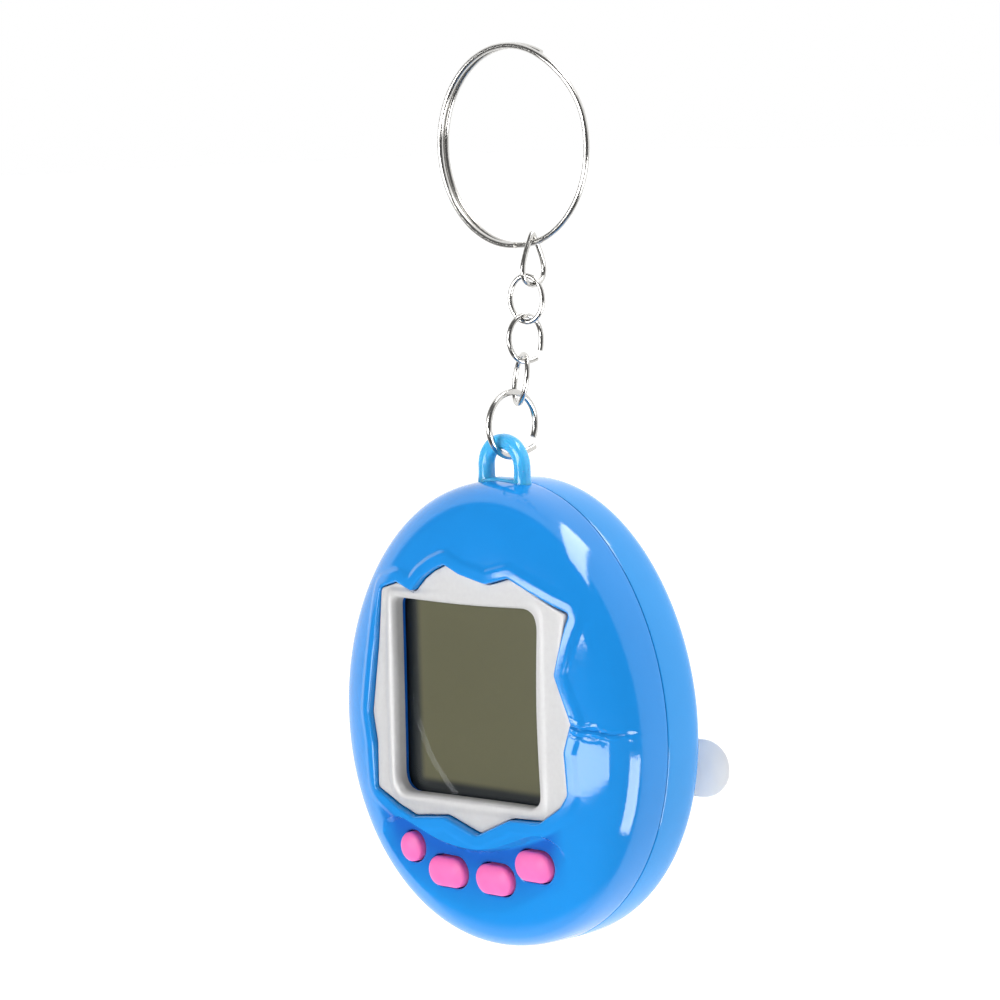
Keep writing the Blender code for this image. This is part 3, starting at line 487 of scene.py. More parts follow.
class Shape:
    """Points and faces gathered for one mesh; shared points are welded at the end."""

    def __init__(self):
        self.points, self.faces, self.count = [], [], 0

    def add(self, points, faces):
        self.points.append(np.asarray(points, float))
        self.faces += [tuple(int(i) + self.count for i in f) for f in faces]
        self.count += len(points)

    def rings(self, rings, closed=False, caps=False):
        """Skins rings of equal length; closed joins the last to the first, caps fills both."""
        rings = [np.asarray(r, float) for r in rings]
        n = len(rings[0])
        faces = []
        for k in range(len(rings) - 1):
            faces += [(k * n + i, k * n + (i + 1) % n, (k + 1) * n + (i + 1) % n, (k + 1) * n + i)
                      for i in range(n)]
        if closed:
            k = len(rings) - 1
            faces += [(k * n + i, k * n + (i + 1) % n, (i + 1) % n, i) for i in range(n)]
        if caps:
            faces += [tuple(range(n))[::-1], tuple(range((len(rings) - 1) * n, len(rings) * n))]
        self.add(np.vstack(rings), faces)

    def sheet(self, outer, holes, free, lift, lines=()):
        """Fills an outline with triangles, but for its holes, through free points and lines."""
        coords, edges = [], []
        for loop in (outer, *holes):
            base, n = len(coords), len(loop)
            coords += [tuple(p) for p in loop]
            edges += [(base + i, base + (i + 1) % n) for i in range(n)]
        for line in lines:
            base, n = len(coords), len(line)
            coords += [tuple(p) for p in line]
            edges += [(base + i, base + i + 1) for i in range(n - 1)]
        coords += [tuple(p) for p in free]
        found = delaunay_2d_cdt([Vector(c) for c in coords], edges, [], 0, 1e-5, False)
        flat = np.array([(p.x, p.y) for p in found[0]])
        tris = np.array([f for f in found[2] if len(f) == 3])
        mid = flat[tris].mean(1)
        keep = inside(outer, *mid.T)
        for hole in holes:
            keep &= ~inside(hole, *mid.T)
        self.add(lift(*flat.T), tris[keep])

    def build(self, name, body, mat, slot, stands_for=(), sharp=30.0):
        points = np.vstack(self.points) * MM + np.array(CENTRE)
        mesh = bpy.data.meshes.new(name)
        mesh.from_pydata(points.tolist(), [], self.faces)
        bm = bmesh.new()
        bm.from_mesh(mesh)
        bmesh.ops.remove_doubles(bm, verts=bm.verts, dist=8e-7)
        bmesh.ops.recalc_face_normals(bm, faces=bm.faces)
        bm.to_mesh(mesh)
        bm.free()
        obj = bpy.data.objects.new(name, mesh)
        SCENE.collection.objects.link(obj)
        return settle(obj, body, mat, stands_for, sharp)


def settle(obj, body, mat, stands_for, sharp):
    """Shades a piece and, unless it is a throwaway solid, gives it its material and body and hides
    the CAD nodes that it stands for.
    """
    obj.data.shade_smooth()
    obj.data.set_sharp_from_angle(angle=math.radians(sharp))
    if body:
        obj.data.materials.clear()
        obj.data.materials.append(mat)
        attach(obj, body)
        if stands_for:
            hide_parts(*stands_for)
    return obj


def hexagons(half_u, half_v, step):
    """Evenly spread points over a rectangle."""
    rows = np.arange(-half_v, half_v, step * 0.866)
    out = []
    for i, v in enumerate(rows):
        u = np.arange(-half_u, half_u, step) + (0.5 * step if i % 2 else 0.0)
        out.append(np.stack([u, np.full(u.shape, v)], 1))
    return np.vstack(out)


NO_POINTS = np.zeros((0, 2))


def flat_at(y):
    return lambda x, z: np.stack([x, np.full(np.shape(x), float(y)), z], -1)


def at_height(loop, y):
    return np.stack([loop[:, 0], np.full(len(loop), float(y)), loop[:, 1]], 1)


def trim(target, tools, operation="DIFFERENCE"):
    """Applies Booleans with throwaway tools."""
    for tool in tools:
        mod = target.modifiers.new("cut", "BOOLEAN")
        mod.operation = operation
        mod.solver = "EXACT"
        mod.object = tool
    graph = bpy.context.evaluated_depsgraph_get()
    mesh = bpy.data.meshes.new_from_object(target.evaluated_get(graph))
    target.modifiers.clear()
    target.data = mesh
    for tool in tools:
        bpy.data.objects.remove(tool, do_unlink=True)


def raw(shape):
    """A tool or a solid that Booleans will still change."""
    return shape.build("raw", None, None, None)


def prism(loop, y0, y1):
    """A straight throwaway solid from y0 to y1."""
    shape = Shape()
    shape.rings([at_height(np.asarray(loop), y) for y in (y0, y1)], caps=True)
    return raw(shape)


# ---- front half ----

FRONT_HALF = Half(*FRONT, -1.0)
JAG = soften(FRAME_OUTLINE[::-1], 0.4, 9)
WINDOW = soften(WINDOW_OUTLINE[::-1], WINDOW_RADII[::-1], 12)
SHELF_LINE = spline(SHELF_EDGE)
SHELF = np.vstack([SHELF_LINE, [(17.5, -30.0), (-17.5, -30.0)]])
CRACK_LINE = spline(CRACK, 4)
RIM = 0.12                 # gap between the frame's outline and the pocket's wall
BUTTON_GAP = 0.2           # gap between a button and its hole
HOLE_EDGE = 0.36           # the same at the hole's rounded edge
BORDER = 0.16              # free points keep this far from a hole's edge


def bell(gap, middle, width):
    return np.exp(-(((gap - middle) / width) ** 2))


def front_surface(x, z, y):
    """The front's height with its rolled lip, button shelf and moulded crack."""
    out = np.where(inside(JAG, x, z), 0.0, line_distance(JAG, x, z))
    fall = smooth((LIP_WIDTH - out) / LIP_SLOPE)
    edge = np.clip(1.0 - (out - RIM) / LIP_EDGE, 0.0, 1.0)
    # the lip is lower at the bottom and at the left
    share = (0.45 + 0.55 * smooth((z + 6.0) / 8.0)) * (0.45 + 0.55 * smooth((x + 16.0) / 8.0))
    y = y - LIP_RISE * share * fall + LIP_EDGE * (1.0 - np.sqrt(1.0 - edge ** 2))
    depth = np.where(inside(SHELF, x, z), line_distance(SHELF_LINE, x, z, False), 0.0)
    y = y + (np.maximum(y, SHELF_Y) - y) * smooth(depth / 0.55)
    # the crack is a groove with a soft bank, and a second, shorter groove below it
    crack = line_distance(CRACK_LINE, x, z, False)
    fade = smooth((x - 17.6) / 0.8) * smooth((25.2 - x) / 1.6)
    below = z < np.interp(x, *CRACK_LINE.T)
    dent = 0.24 * bell(crack, 0.0, 0.17) - 0.12 * bell(crack, 0.46, 0.2)
    second = 0.16 * bell(crack, 0.85, 0.16) * smooth((22.5 - x) / 2.0)
    return y + (dent + np.where(below, second, 0.0)) * fade


def front_lift(u, v):
    x, z, y = FRONT_HALF.lift(u, v)
    return np.stack([x, front_surface(x, z, y), z], -1)


def flat_front(loop):
    return np.stack(FRONT_HALF.flatten(*loop.T), 1)


def button_loop(spec, grow):
    _, x, z, half_w = spec
    return oblong(x, z, half_w, BUTTON_R, grow)


def clear_of_buttons(x, z):
    """Which points lie outside the button holes, and how far from the nearest."""
    clear, gap = np.ones(x.shape, bool), np.full(x.shape, 1e9)
    for spec in BUTTONS:
        hole = button_loop(spec, HOLE_EDGE)
        far = line_distance(hole, x, z)
        clear &= ~inside(hole, x, z) & (far > BORDER)
        gap = np.minimum(gap, far)
    return clear, gap


def front_points(w_edge):
    """Free points: rows along the lip, then a grid that is finer near edges and the crack."""
    free = []
    for far in (0.17, 0.24, 0.32, 0.42, 0.56, 0.75, 0.95, 1.12, 1.28, 1.44, 1.6, 1.76, 1.92,
                2.1, 2.35, 2.65):
        loop = offset(JAG, far)
        x, z = loop.T
        keep = (line_distance(JAG, x, z) > far - 0.02) & (level(x, z) < 0.985)
        keep &= line_distance(SHELF_LINE, x, z, False) > 0.12
        free.append(flat_front(loop[keep & clear_of_buttons(x, z)[0]]))
    for step, near in ((0.27, True), (0.55, False)):
        grid = hexagons(36.0, 40.0, step)
        grid = grid[level(*grid.T) < w_edge - 0.012]
        x, z, _ = FRONT_HALF.lift(*grid.T)
        jag = np.where(inside(JAG, x, z), -1.0, line_distance(JAG, x, z))
        shelf = line_distance(SHELF_LINE, x, z, False)
        crack = line_distance(CRACK_LINE, x, z, False)
        clear, hole = clear_of_buttons(x, z)
        close = (shelf < 1.2) | (crack < 1.3) | (hole < 0.4)
        free.append(grid[(jag > 2.85) & clear & (shelf > 0.1) & (close if near else ~close)])
    return np.vstack(free)


def make_front():
    shape = Shape()
    turns = np.arange(480) * 2 * np.pi / 480
    w_edge = FRONT_HALF.edge(0.22)
    outer = egg(turns, w_edge)
    rim = offset(JAG, RIM)
    rim_flat = flat_front(rim)
    holes_flat = [flat_front(button_loop(b, HOLE_EDGE)) for b in BUTTONS]
    shape.sheet(outer, [rim_flat, *holes_flat], front_points(w_edge), front_lift,
                [flat_front(SHELF_LINE)])
    # rim of the seam, inner dome and inner face
    rows = [front_lift(*outer.T), at_height(egg(turns, SEAM_MID), -0.1),
            at_height(egg(turns, SEAM_DEEP), -SEAM)]
    in_w, in_h, in_d = HALF_W - WALL, HALF_H - WALL, FRONT[0] - WALL
    flat_r = (1.0 - (INNER_Y / -in_d) ** FRONT[2]) ** (1.0 / FRONT[1])
    start = math.asin(flat_r ** (FRONT[1] / 2.0))
    for k in range(14, -1, -1):
        phi = start + (math.pi / 2 - start) * k / 14
        r = math.sin(phi) ** (2.0 / FRONT[1])
        y = min(-in_d * max(math.cos(phi), 0.0) ** (2.0 / FRONT[2]), -SEAM)
        rows.append(at_height(egg(turns, r, in_w, in_h), y))
    shape.rings(rows)
    inner, inner_y = rows[-1][:, [0, 2]], rows[-1][0, 1]
    hole_wall = offset(WINDOW, 0.15)
    inner_holes = [button_loop(b, BUTTON_GAP) for b in BUTTONS]
    shape.sheet(inner, [hole_wall, *inner_holes], NO_POINTS, flat_at(inner_y))
    # the pocket's floor and walls, and the button holes
    shape.rings([at_height(hole_wall, inner_y), at_height(hole_wall, POCKET_Y)])
    shape.sheet(rim, [hole_wall], NO_POINTS, flat_at(POCKET_Y))
    shape.rings([at_height(rim, POCKET_Y), front_lift(*rim_flat.T)])
    for spec, flat in zip(BUTTONS, holes_flat):
        edge = front_lift(*flat.T)
        rows = [edge]
        for grow, drop in ((0.28, 0.03), (0.22, 0.09), (BUTTON_GAP, 0.18)):
            loop = button_loop(spec, grow)
            rows.append(np.stack([loop[:, 0], edge[:, 1] + drop, loop[:, 1]], 1))
        rows.append(at_height(button_loop(spec, BUTTON_GAP), inner_y))
        shape.rings(rows)
    shape.build("front_half", "case", MATS["front_blue"], "blue_plastic", ["front_shell"])


def make_loop():
    """The moulded hanging loop, with a low pad between its feet."""
    foot, squareness = 26.6, 2.6
    path = [(-LOOP_HALF, foot + (LOOP_Z - foot) * i / 12, 0.0) for i in range(13)]
    for i in range(1, 33):
        a = math.pi * i / 32
        path.append((-LOOP_HALF * math.cos(a), LOOP_Z + LOOP_HALF * math.sin(a), a))
    path += [(LOOP_HALF, LOOP_Z - (LOOP_Z - foot) * i / 12, math.pi) for i in range(1, 13)]
    rings = []
    for x, z, turn in path:
        flare = LOOP_R * (1.0 + 0.12 * math.exp(-max(z - 28.3, 0.0) / 0.3) * (z < 31.0))
        ring = []
        for k in range(32):
            c, s = math.cos(2.0 * math.pi * k / 32), math.sin(2.0 * math.pi * k / 32)
            fuller = 1.0 / (abs(c) ** squareness + abs(s) ** squareness) ** (1.0 / squareness)
            out = -flare * c * fuller
            ring.append((x + out * math.cos(turn), LOOP_Y + flare * s * fuller * 0.98,
                         z - out * math.sin(turn)))
        rings.append(ring)
    shape = Shape()
    shape.rings(rings, caps=True)
    pad = []
    pad_half, pad_depth, pad_z = 4.1, 1.25, 28.35
    for k in range(9):
        a = math.pi / 2.0 * k / 8
        grow, high = max(math.cos(a), 0.02), 0.5 * math.sin(a)
        ring = []
        for i in range(48):
            c, s = math.cos(2.0 * math.pi * i / 48), math.sin(2.0 * math.pi * i / 48)
            ring.append((pad_half * grow * math.copysign(abs(c) ** 0.6, c),
                         LOOP_Y + pad_depth * grow * math.copysign(abs(s) ** 0.8, s),
                         pad_z + high - 0.012 * (pad_half * grow * c) ** 2))
        pad.append(ring)
    pad.insert(0, [(x, y, z - 1.2) for x, y, z in pad[0]])
    shape.rings(pad, caps=True)
    # lighter blue: painted glow of the light through the thin loop
    shape.build("hanging_loop", "case", MATS["loop_blue_painted_glow"], "blue_plastic")


def make_frame():
    """Silver display frame: flat face, round ridge about the opening, sloping inner side."""
    angles = np.linspace(0.0, 2 * np.pi, 720, endpoint=False)

    def along(loop):
        """The outline's distance from the face's centre at every angle."""
        dx, dz = loop[:, 0] - FACE_C[0], loop[:, 1] - FACE_C[1]
        turn = np.unwrap(np.arctan2(dz, dx))
        far = np.hypot(dx, dz)
        if turn[-1] < turn[0]:
            turn, far = turn[::-1], far[::-1]
        base = turn[0]
        order = np.argsort((turn - base) % (2 * np.pi))
        t = ((turn - base) % (2 * np.pi))[order]
        dense_t = np.concatenate([t - 2 * np.pi, t, t + 2 * np.pi])
        return np.interp((angles - base) % (2 * np.pi), dense_t, np.tile(far[order], 3))

    hole, jag = along(WINDOW), along(JAG)
    rings = []
    # the ridge is full height at the left, lower at the bottom, and lowest at the top and right
    tall = np.maximum(0.25 + 0.75 * smooth((-np.cos(angles) - 0.2) / 0.5),
                      0.6 * smooth((-np.sin(angles) - 0.3) / 0.5))

    def ring(distance, y):
        height = FRAME_Y + (y - FRAME_Y) * tall if y < FRAME_Y else np.full(len(angles), y)
        rings.append(np.stack([FACE_C[0] + distance * np.cos(angles), height,
                               FACE_C[1] + distance * np.sin(angles)], 1))

    for grow, y in (
            (0.12, FRAME_BACK_Y), (0.12, -7.45), (0.0, -7.45), (0.0, -8.35), (0.04, -8.55),
            (0.13, -8.75), (0.27, -8.93), (0.45, -9.06), (0.65, -9.14), (0.87, -9.17),
            (1.1, -9.15), (1.3, -9.09), (1.5, -9.01), (1.7, -8.94), (1.9, -8.905)):
        ring(np.minimum(hole + grow, jag - 0.3), y)
    inner = np.minimum(hole + 1.9, jag - 0.3)
    for share in (0.25, 0.5, 0.75):
        ring(inner + (jag - 0.22 - inner) * share, FRAME_Y)
    for grow, y in ((-0.2, FRAME_Y), (-0.1, -8.87), (-0.04, -8.8), (-0.02, -8.7),
                    (-0.02, FRAME_BACK_Y)):
        ring(jag + grow, y)
    shape = Shape()
    shape.rings(rings, closed=True)
    shape.build("display_frame", "case", MATS["silver"], "silver_plastic", ["screen_bezel"], 40.0)


def make_buttons():
    """Each cap: flange at the back, straight side, rounded edge and a crowned top."""
    side = [(-0.05, -3.95), (0.0, -4.05), (0.0, -5.5), (0.5, -5.5), (0.5, -6.3), (0.0, -6.3),
            (0.0, -8.95), (-0.03, -9.07), (-0.1, -9.18), (-0.22, -9.28), (-0.4, -9.37)]
    crown = [(-BUTTON_R * share, -9.37 - 0.27 * (1 - ((1 - share) / 0.78) ** 2))
             for share in (0.34, 0.46, 0.58, 0.7, 0.82, 0.92, 0.998)]
    for name, x, z, half_w in BUTTONS:
        shape = Shape()
        shape.rings([at_height(oblong(x, z, half_w, BUTTON_R, grow), y)
                     for grow, y in side + crown], caps=True)
        shape.build(name + "_cap", name, MATS["pink"], "pink_silicone", [name], 50.0)


# ---- back half ----


def back_rows(inset, steps):
    """Rings of the back's outer surface, or of the same set in by the wall's thickness."""
    turns = np.arange(360) * 2 * np.pi / 360
    depth, flat = BACK[0] - inset, BACK[3] - inset
    rows = []
    for k in range(steps - 1, -1, -1):
        phi = math.pi / 2 * (0.1 + 0.9 * k / steps)
        r = math.sin(phi) ** (2.0 / BACK[1])
        y = min(depth * max(math.cos(phi), 0.0) ** (2.0 / BACK[2]), flat)
        rows.append(at_height(egg(turns, r, HALF_W - inset, HALF_H - inset), max(y, 0.3)))
    return rows, turns


def rounded_box(half, low, high, radius):
    return soften(((-half, low), (half, low), (half, high), (-half, high)), radius)


def door_loop(grow=0.0):
    """The battery door's outline: a rounded box with a round tongue at its screw."""
    low, high, half = -14.4 - grow, 1.6 + grow, 14.4 + grow
    corners = soften(((-half, low), (half, low), (half, high), (-half, high)), 2.6, 10, 1.0)
    radius, centre_z = 2.9 + grow, DOOR_SCREW[1] - 0.4
    first = math.asin((high - centre_z) / radius)
    a = first + (math.pi - 2 * first) * np.arange(31) / 30
    tongue = np.stack([radius * np.cos(a), centre_z + radius * np.sin(a)], 1)
    top = np.abs(corners[:, 1] - high) < 1e-6
    under = top & (np.abs(corners[:, 0]) < radius * math.cos(first) + 0.2)
    points = np.vstack([corners[~under], tongue])
    return points[np.argsort(np.arctan2(points[:, 1] + 6.0, points[:, 0]) % (2 * np.pi))]


def tab_slot(x0, half, above, below):
    """A throwaway solid along the pull tab, out past the case's side."""
    rings = []
    for x in (x0, 20.0):
        y = TAB_TIP[1] - (TAB_TIP[0] - x) * math.tan(TAB_SLOPE)
        rings.append([(x, y - below, TAB_Z - half), (x, y + above, TAB_Z - half),
                      (x, y + above, TAB_Z + half), (x, y - below, TAB_Z + half)])
    shape = Shape()
    shape.rings(rings, caps=True)
    return raw(shape)


def make_back():
    outer, turns = back_rows(0.0, 40)
    inner, _ = back_rows(WALL, 10)
    seam = [
        at_height(egg(turns, 1.0, HALF_W - WALL, HALF_H - WALL), SEAM),
        at_height(egg(turns, SEAM_DEEP), SEAM), at_height(egg(turns, SEAM_MID), 0.1),
        at_height(egg(turns, 1.0), 0.22),
    ]
    shape = Shape()
    shape.rings(inner[::-1] + seam + outer, caps=True)
    back = raw(shape)
    # battery box and screw posts
    trim(back, [prism(rounded_box(13.9, -13.9, 1.4, 1.5), -0.9, 7.7),
                *(prism(circle(x, z, 2.6), 0.4, 6.6) for x, z in CASE_SCREWS),
                prism(circle(*DOOR_SCREW, 2.4), -0.8, 7.7)], "UNION")
    # room for the cells, seat of the door, screw holes, sound holes and slot for the tab
    cuts = [prism(rounded_box(12.5, -12.5, 0.1, 1.0), 0.1, 7.9),
            prism(door_loop(0.15), DOOR_Y - 0.15, 12.0)]
    for x, z in CASE_SCREWS:
        cuts.append(prism(circle(x, z, 2.0), 3.6, 12.0))
        cuts.append(prism(circle(x, z, 1.1, 24), -1.0, 4.0))
    cuts.append(prism(circle(*DOOR_SCREW, 0.7, 24), 1.2, 7.4))
    for x, z in ((2.4, 0.0), (0.0, 2.4), (-2.4, 0.0), (0.0, -2.4), (0.0, 0.0)):
        cuts.append(prism(circle(x, BUZZER_Z + z, 0.6, 24), 6.5, 12.0))
    cuts.append(tab_slot(11.0, 3.85, 0.45, 0.45))
    trim(back, cuts)
    back.name = "back_half"
    settle(back, "case", MATS["blue"], ["rear_shell"], 28.0)


def make_door():
    half = Half(*BACK, 1.0)

    def lift(u, v):
        x, z, y = half.lift(u, v)
        return np.stack([x, y, z], -1)

    outline, through = door_loop(), circle(*DOOR_SCREW, 1.0)
    top, sink = offset(outline, -0.14), circle(*DOOR_SCREW, 1.87)
    top_flat, sink_flat = (np.stack(half.flatten(*p.T), 1) for p in (top, sink))
    grid = hexagons(16.0, 20.0, 1.1)
    x, z, _ = half.lift(*grid.T)
    keep = inside(top, x, z) & (line_distance(top, x, z) > 0.5)
    keep &= ~inside(sink, x, z) & (line_distance(sink, x, z) > 0.5)
    shape = Shape()
    shape.sheet(top_flat, [sink_flat], grid[keep], lift)
    brim = lift(*top_flat.T)
    rows = [brim]
    for grow, drop in ((-0.05, 0.04), (0.0, 0.14)):
        loop = offset(outline, grow)
        rows.append(np.stack([loop[:, 0], brim[:, 1] - drop, loop[:, 1]], 1))
    shape.rings([*rows, at_height(outline, DOOR_Y)])
    wall = circle(*DOOR_SCREW, 1.75)
    shape.rings([lift(*sink_flat.T), at_height(wall, 8.82),
                 at_height(wall, 8.1), at_height(through, 8.1), at_height(through, DOOR_Y)])
    shape.sheet(outline, [through], NO_POINTS, flat_at(DOOR_Y))
    door = raw(shape)
    trim(door, [tab_slot(9.0, 3.85, 0.45, 1.2)])
    door.name = "battery_cover"
    settle(door, "door", MATS["blue"], ["battery_door"], 28.0)


def make_screw(name, node, body, x, z, head_y, shaft_end, head_r, shaft_r, head_t):
    """A screw with a threaded shaft, a domed head and a cross recess."""
    rows = [(shaft_r * 0.3, shaft_end), (shaft_r * 0.85, shaft_end + 0.8)]
    root, pitch = shaft_r * 0.8, 0.5
    y = shaft_end + 1.0
    while y < head_y - pitch:
        rows += [(shaft_r, y), (shaft_r, y + 0.1), (root, y + 0.25), (root, y + 0.35)]
        y += pitch
    rows += [(shaft_r, head_y - 0.05), (shaft_r, head_y), (head_r - 0.04, head_y),
             (head_r, head_y + 0.04), (head_r, head_y + head_t * 0.5),
             (head_r * 0.95, head_y + head_t * 0.72), (head_r * 0.8, head_y + head_t * 0.92),
             (head_r * 0.6, head_y + head_t)]
    shape = Shape()
    shape.rings([at_height(circle(x, z, r, 36), y) for r, y in rows], caps=True)
    screw = raw(shape)
    arm, far = head_r * 0.16, head_r * 0.6
    cross = [(arm, arm), (arm, far), (-arm, far), (-arm, arm), (-far, arm), (-far, -arm),
             (-arm, -arm), (-arm, -far), (arm, -far), (arm, -arm), (far, -arm), (far, arm)]
    top = head_y + head_t
    trim(screw, [prism([(x + px, z + pz) for px, pz in cross], top - head_t * 0.5, top + 1.0)])
    screw.name = name
    settle(screw, body, MATS["screw"], [node], 30.0)


# ---- ring, chain and tab ----


def tube(shape, points, radius, closed=False, sides=16, tip=0.0):
    """A round bar along points; tip rounds its ends off."""
    points = np.array(points, float)
    ahead = np.roll(points, -1, 0) - np.roll(points, 1, 0)
    if not closed:
        ahead[0], ahead[-1] = points[1] - points[0], points[-1] - points[-2]
    ahead /= np.linalg.norm(ahead, axis=1)[:, None]
    side = np.cross(ahead[0], (0.31, 0.83, 0.46))
    a = np.arange(sides) * 2 * np.pi / sides
    rings = []
    for middle, along in zip(points, ahead):
        side = side - along * (side @ along)
        side /= np.linalg.norm(side)
        up = np.cross(along, side)
        rings.append(middle + radius * (np.cos(a)[:, None] * side + np.sin(a)[:, None] * up))
    if closed:
        shape.rings(rings)
        last, first = rings[-1], rings[0]
        gaps = [np.linalg.norm(last - np.roll(first, k, 0), axis=1).sum() for k in range(sides)]
        shape.rings([last, np.roll(first, int(np.argmin(gaps)), 0)])
        return
    for end, sign in ((0, -1), (-1, 1)):
        extra = []
        for s in (0.5, 1.0):
            middle = points[end] + sign * ahead[end] * tip * s
            extra.append(middle + (rings[end] - points[end]) * (1.0 - 0.45 * s * s))
        rings = extra[::-1] + rings if end == 0 else rings + extra
    shape.rings(rings, caps=True)


def make_ring():
    """A turn and a half of wire that steps across its own thickness once."""
    points = []
    steps = 420
    for i in range(steps + 1):
        turn = RING_TURN * i / steps
        a = math.radians(RING_START - turn)
        s = smooth(np.array((turn - 309.0) / 51.0)).item()
        points.append((RING_C[0] + RING_PATH_R * math.sin(a), RING_C[1] + RING_PITCH * (0.5 - s),
                       RING_C[2] + RING_PATH_R * math.cos(a)))
    shape = Shape()
    tube(shape, points, RING_WIRE_R, sides=14, tip=0.02)
    shape.build("split_ring_wire", "ring", MATS["steel"], "ring_steel", ["split_ring"])


def make_links():
    """Oval links; the third has sprung open, and one of its ends bends outwards."""
    for body, centre, low, high, azimuth, pinch, lean in LINKS:
        half_w = (LINK_W / 2.0 - LINK_R) * (1.0 + 0.54 * pinch)
        half_h = (high - low) / 2.0 - LINK_R
        c, s = math.cos(math.radians(azimuth)), math.sin(math.radians(azimuth))
        sprung = body == "link_3"
        first, last, shift = (152.0, 484.0, 0.0) if sprung else (0.0, 360.0, 0.5)
        points = []
        for i in range(80 if sprung else 79):
            a = math.radians(first + (last - first) * (i + shift) / 79)
            across = half_w * math.sin(a) * (1.0 - pinch * (1.0 + math.cos(a)) / 2.0)
            rise = half_h * math.cos(a)
            if sprung:
                across += 0.5 * max(1.0 - i / 9.0, 0.0) ** 2
                across += 0.18 * max((i - 71) / 8.0, 0.0) ** 2
            points.append((centre[0] + across * c + lean * rise,
                           centre[1] + across * s + 0.6 * lean * rise, (low + high) / 2.0 + rise))
        shape = Shape()
        tube(shape, points, LINK_R, closed=not sprung, sides=14, tip=0.03)
        shape.build(body + "_wire", body, MATS["steel"], "chain_steel", ["chain_" + body])


def make_jump():
    """The jump ring, with a gap and one end bent outwards."""
    points = []
    for i in range(97):
        a = math.radians(128.0 + 350.0 * i / 96)
        far = JUMP_PATH_R + 0.95 * max(1.0 - i / 9.0, 0.0) ** 1.6
        points.append((JUMP_C[0] + 0.22 * (i / 96 - 0.5), JUMP_C[1] + far * math.sin(a),
                       JUMP_C[2] + far * math.cos(a)))
    shape = Shape()
    tube(shape, points, JUMP_R, tip=0.03)
    shape.build("jump_ring_wire", "jump_ring", MATS["steel"], "chain_steel", ["jump_ring"])


def make_tab():
    """The pull tab: a thin strip with one round end."""
    run = np.array((math.cos(TAB_SLOPE), math.sin(TAB_SLOPE), 0.0))
    across = np.array((-math.sin(TAB_SLOPE), math.cos(TAB_SLOPE), 0.0))
    tip = np.array((*TAB_TIP, TAB_Z))
    rings = []
    for grow, high in ((-0.08, -0.5), (0.0, -0.25), (0.0, 0.25), (-0.08, 0.5)):
        half, end = TAB_HALF + grow, -TAB_LENGTH - grow
        flat = [(end, -half)]
        for i in range(37):
            a = math.radians(-90.0 + 5.0 * i)
            flat.append((-TAB_HALF + half * math.cos(a), half * math.sin(a)))
        flat.append((end, half))
        rings.append([tip + run * u + np.array((0.0, 0.0, v)) + across * TAB_T * high
                      for u, v in flat])
    shape = Shape()
    shape.rings(rings, caps=True)
    shape.build("battery_pull_tab", "tab", MATS["tab"], "frosted_film", ["pull_tab"], 60.0)


def make_film():
    """The clear film over the display, lifted in its lower left corner."""
    n = 150
    u, v = np.meshgrid(np.linspace(-13.7, 13.7, n), np.linspace(-11.2, 15.6, n), indexing="ij")
    crest = spline(((-13.6, 4.6), (-12.2, 1.4), (-11.1, -1.9), (-9.2, -5.6), (-6.4, -8.8),
                    (-3.0, -11.6)), 8)
    gap = line_distance(crest, u, v, False)
    corner = v < np.interp(u, *crest.T)
    peak, rest = 0.17, 0.05
    rise = np.where(corner, np.maximum(peak - 0.05 * gap, rest), peak * (1.0 - smooth(gap / 1.3)))
    y = -6.76 - rise * smooth((u + 13.75) / 0.8)
    index = np.arange(n * n).reshape(n, n)
    quads = np.stack([index[:-1, :-1], index[1:, :-1], index[1:, 1:], index[:-1, 1:]], -1)
    shape = Shape()
    shape.add(np.stack([u.ravel(), y.ravel(), v.ravel()], 1), quads.reshape(-1, 4))
    shape.build("display_film", "case", MATS["film"], "clear_film", ["screen_film"], 80.0)


make_front()
make_loop()
make_frame()
make_buttons()
make_back()
make_door()
make_screw("cover_screw", "door_screw", "door", *DOOR_SCREW, 8.15, 3.0, 1.6, 0.6, 0.7)
for number, place in enumerate(CASE_SCREWS, 1):
    make_screw("shell_screw_%d" % number, "case_screw_%d" % number, "case", *place,
               3.7, -4.5, 1.8, 0.75, 1.3)
make_ring()
make_links()
make_jump()
make_tab()
make_film()

# the CAD nodes that keep showing
CAD_FINISH = {
    "lcd": ("lcd_polariser",), "glass": ("lcd_front_glass", "lcd_rear_glass"),
    "foil": ("lcd_reflector",), "zebra": ("zebra_connector",), "board": ("circuit_board",),
    "epoxy": ("chip_blob",), "sleeve": ("capacitor",),
    "cell": ("clock_crystal", "cell_left", "cell_right"),
    "resistor": ("resistor_1", "resistor_2"), "pink": ("button_mat",),
    "carbon": ("pill_reset", "pill_decide", "pill_select", "pill_cancel"),
    "brass": ("buzzer_disc",), "ceramic": ("buzzer_ceramic",), "red": ("buzzer_wire_red",),
    "black": ("buzzer_wire_black",), "contact": ("contact_left", "contact_right", "contact_bridge"),
}
for key, names in CAD_FINISH.items():
    for node_name in names:
        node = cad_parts[node_name]
        node.data.materials.clear()
        node.data.materials.append(MATS[key])


# ---- floor, lights and camera ----


def direction(azimuth, elevation):
    a, e = math.radians(azimuth), math.radians(elevation)
    return Vector((math.sin(a) * math.cos(e), -math.cos(a) * math.cos(e), math.sin(e)))


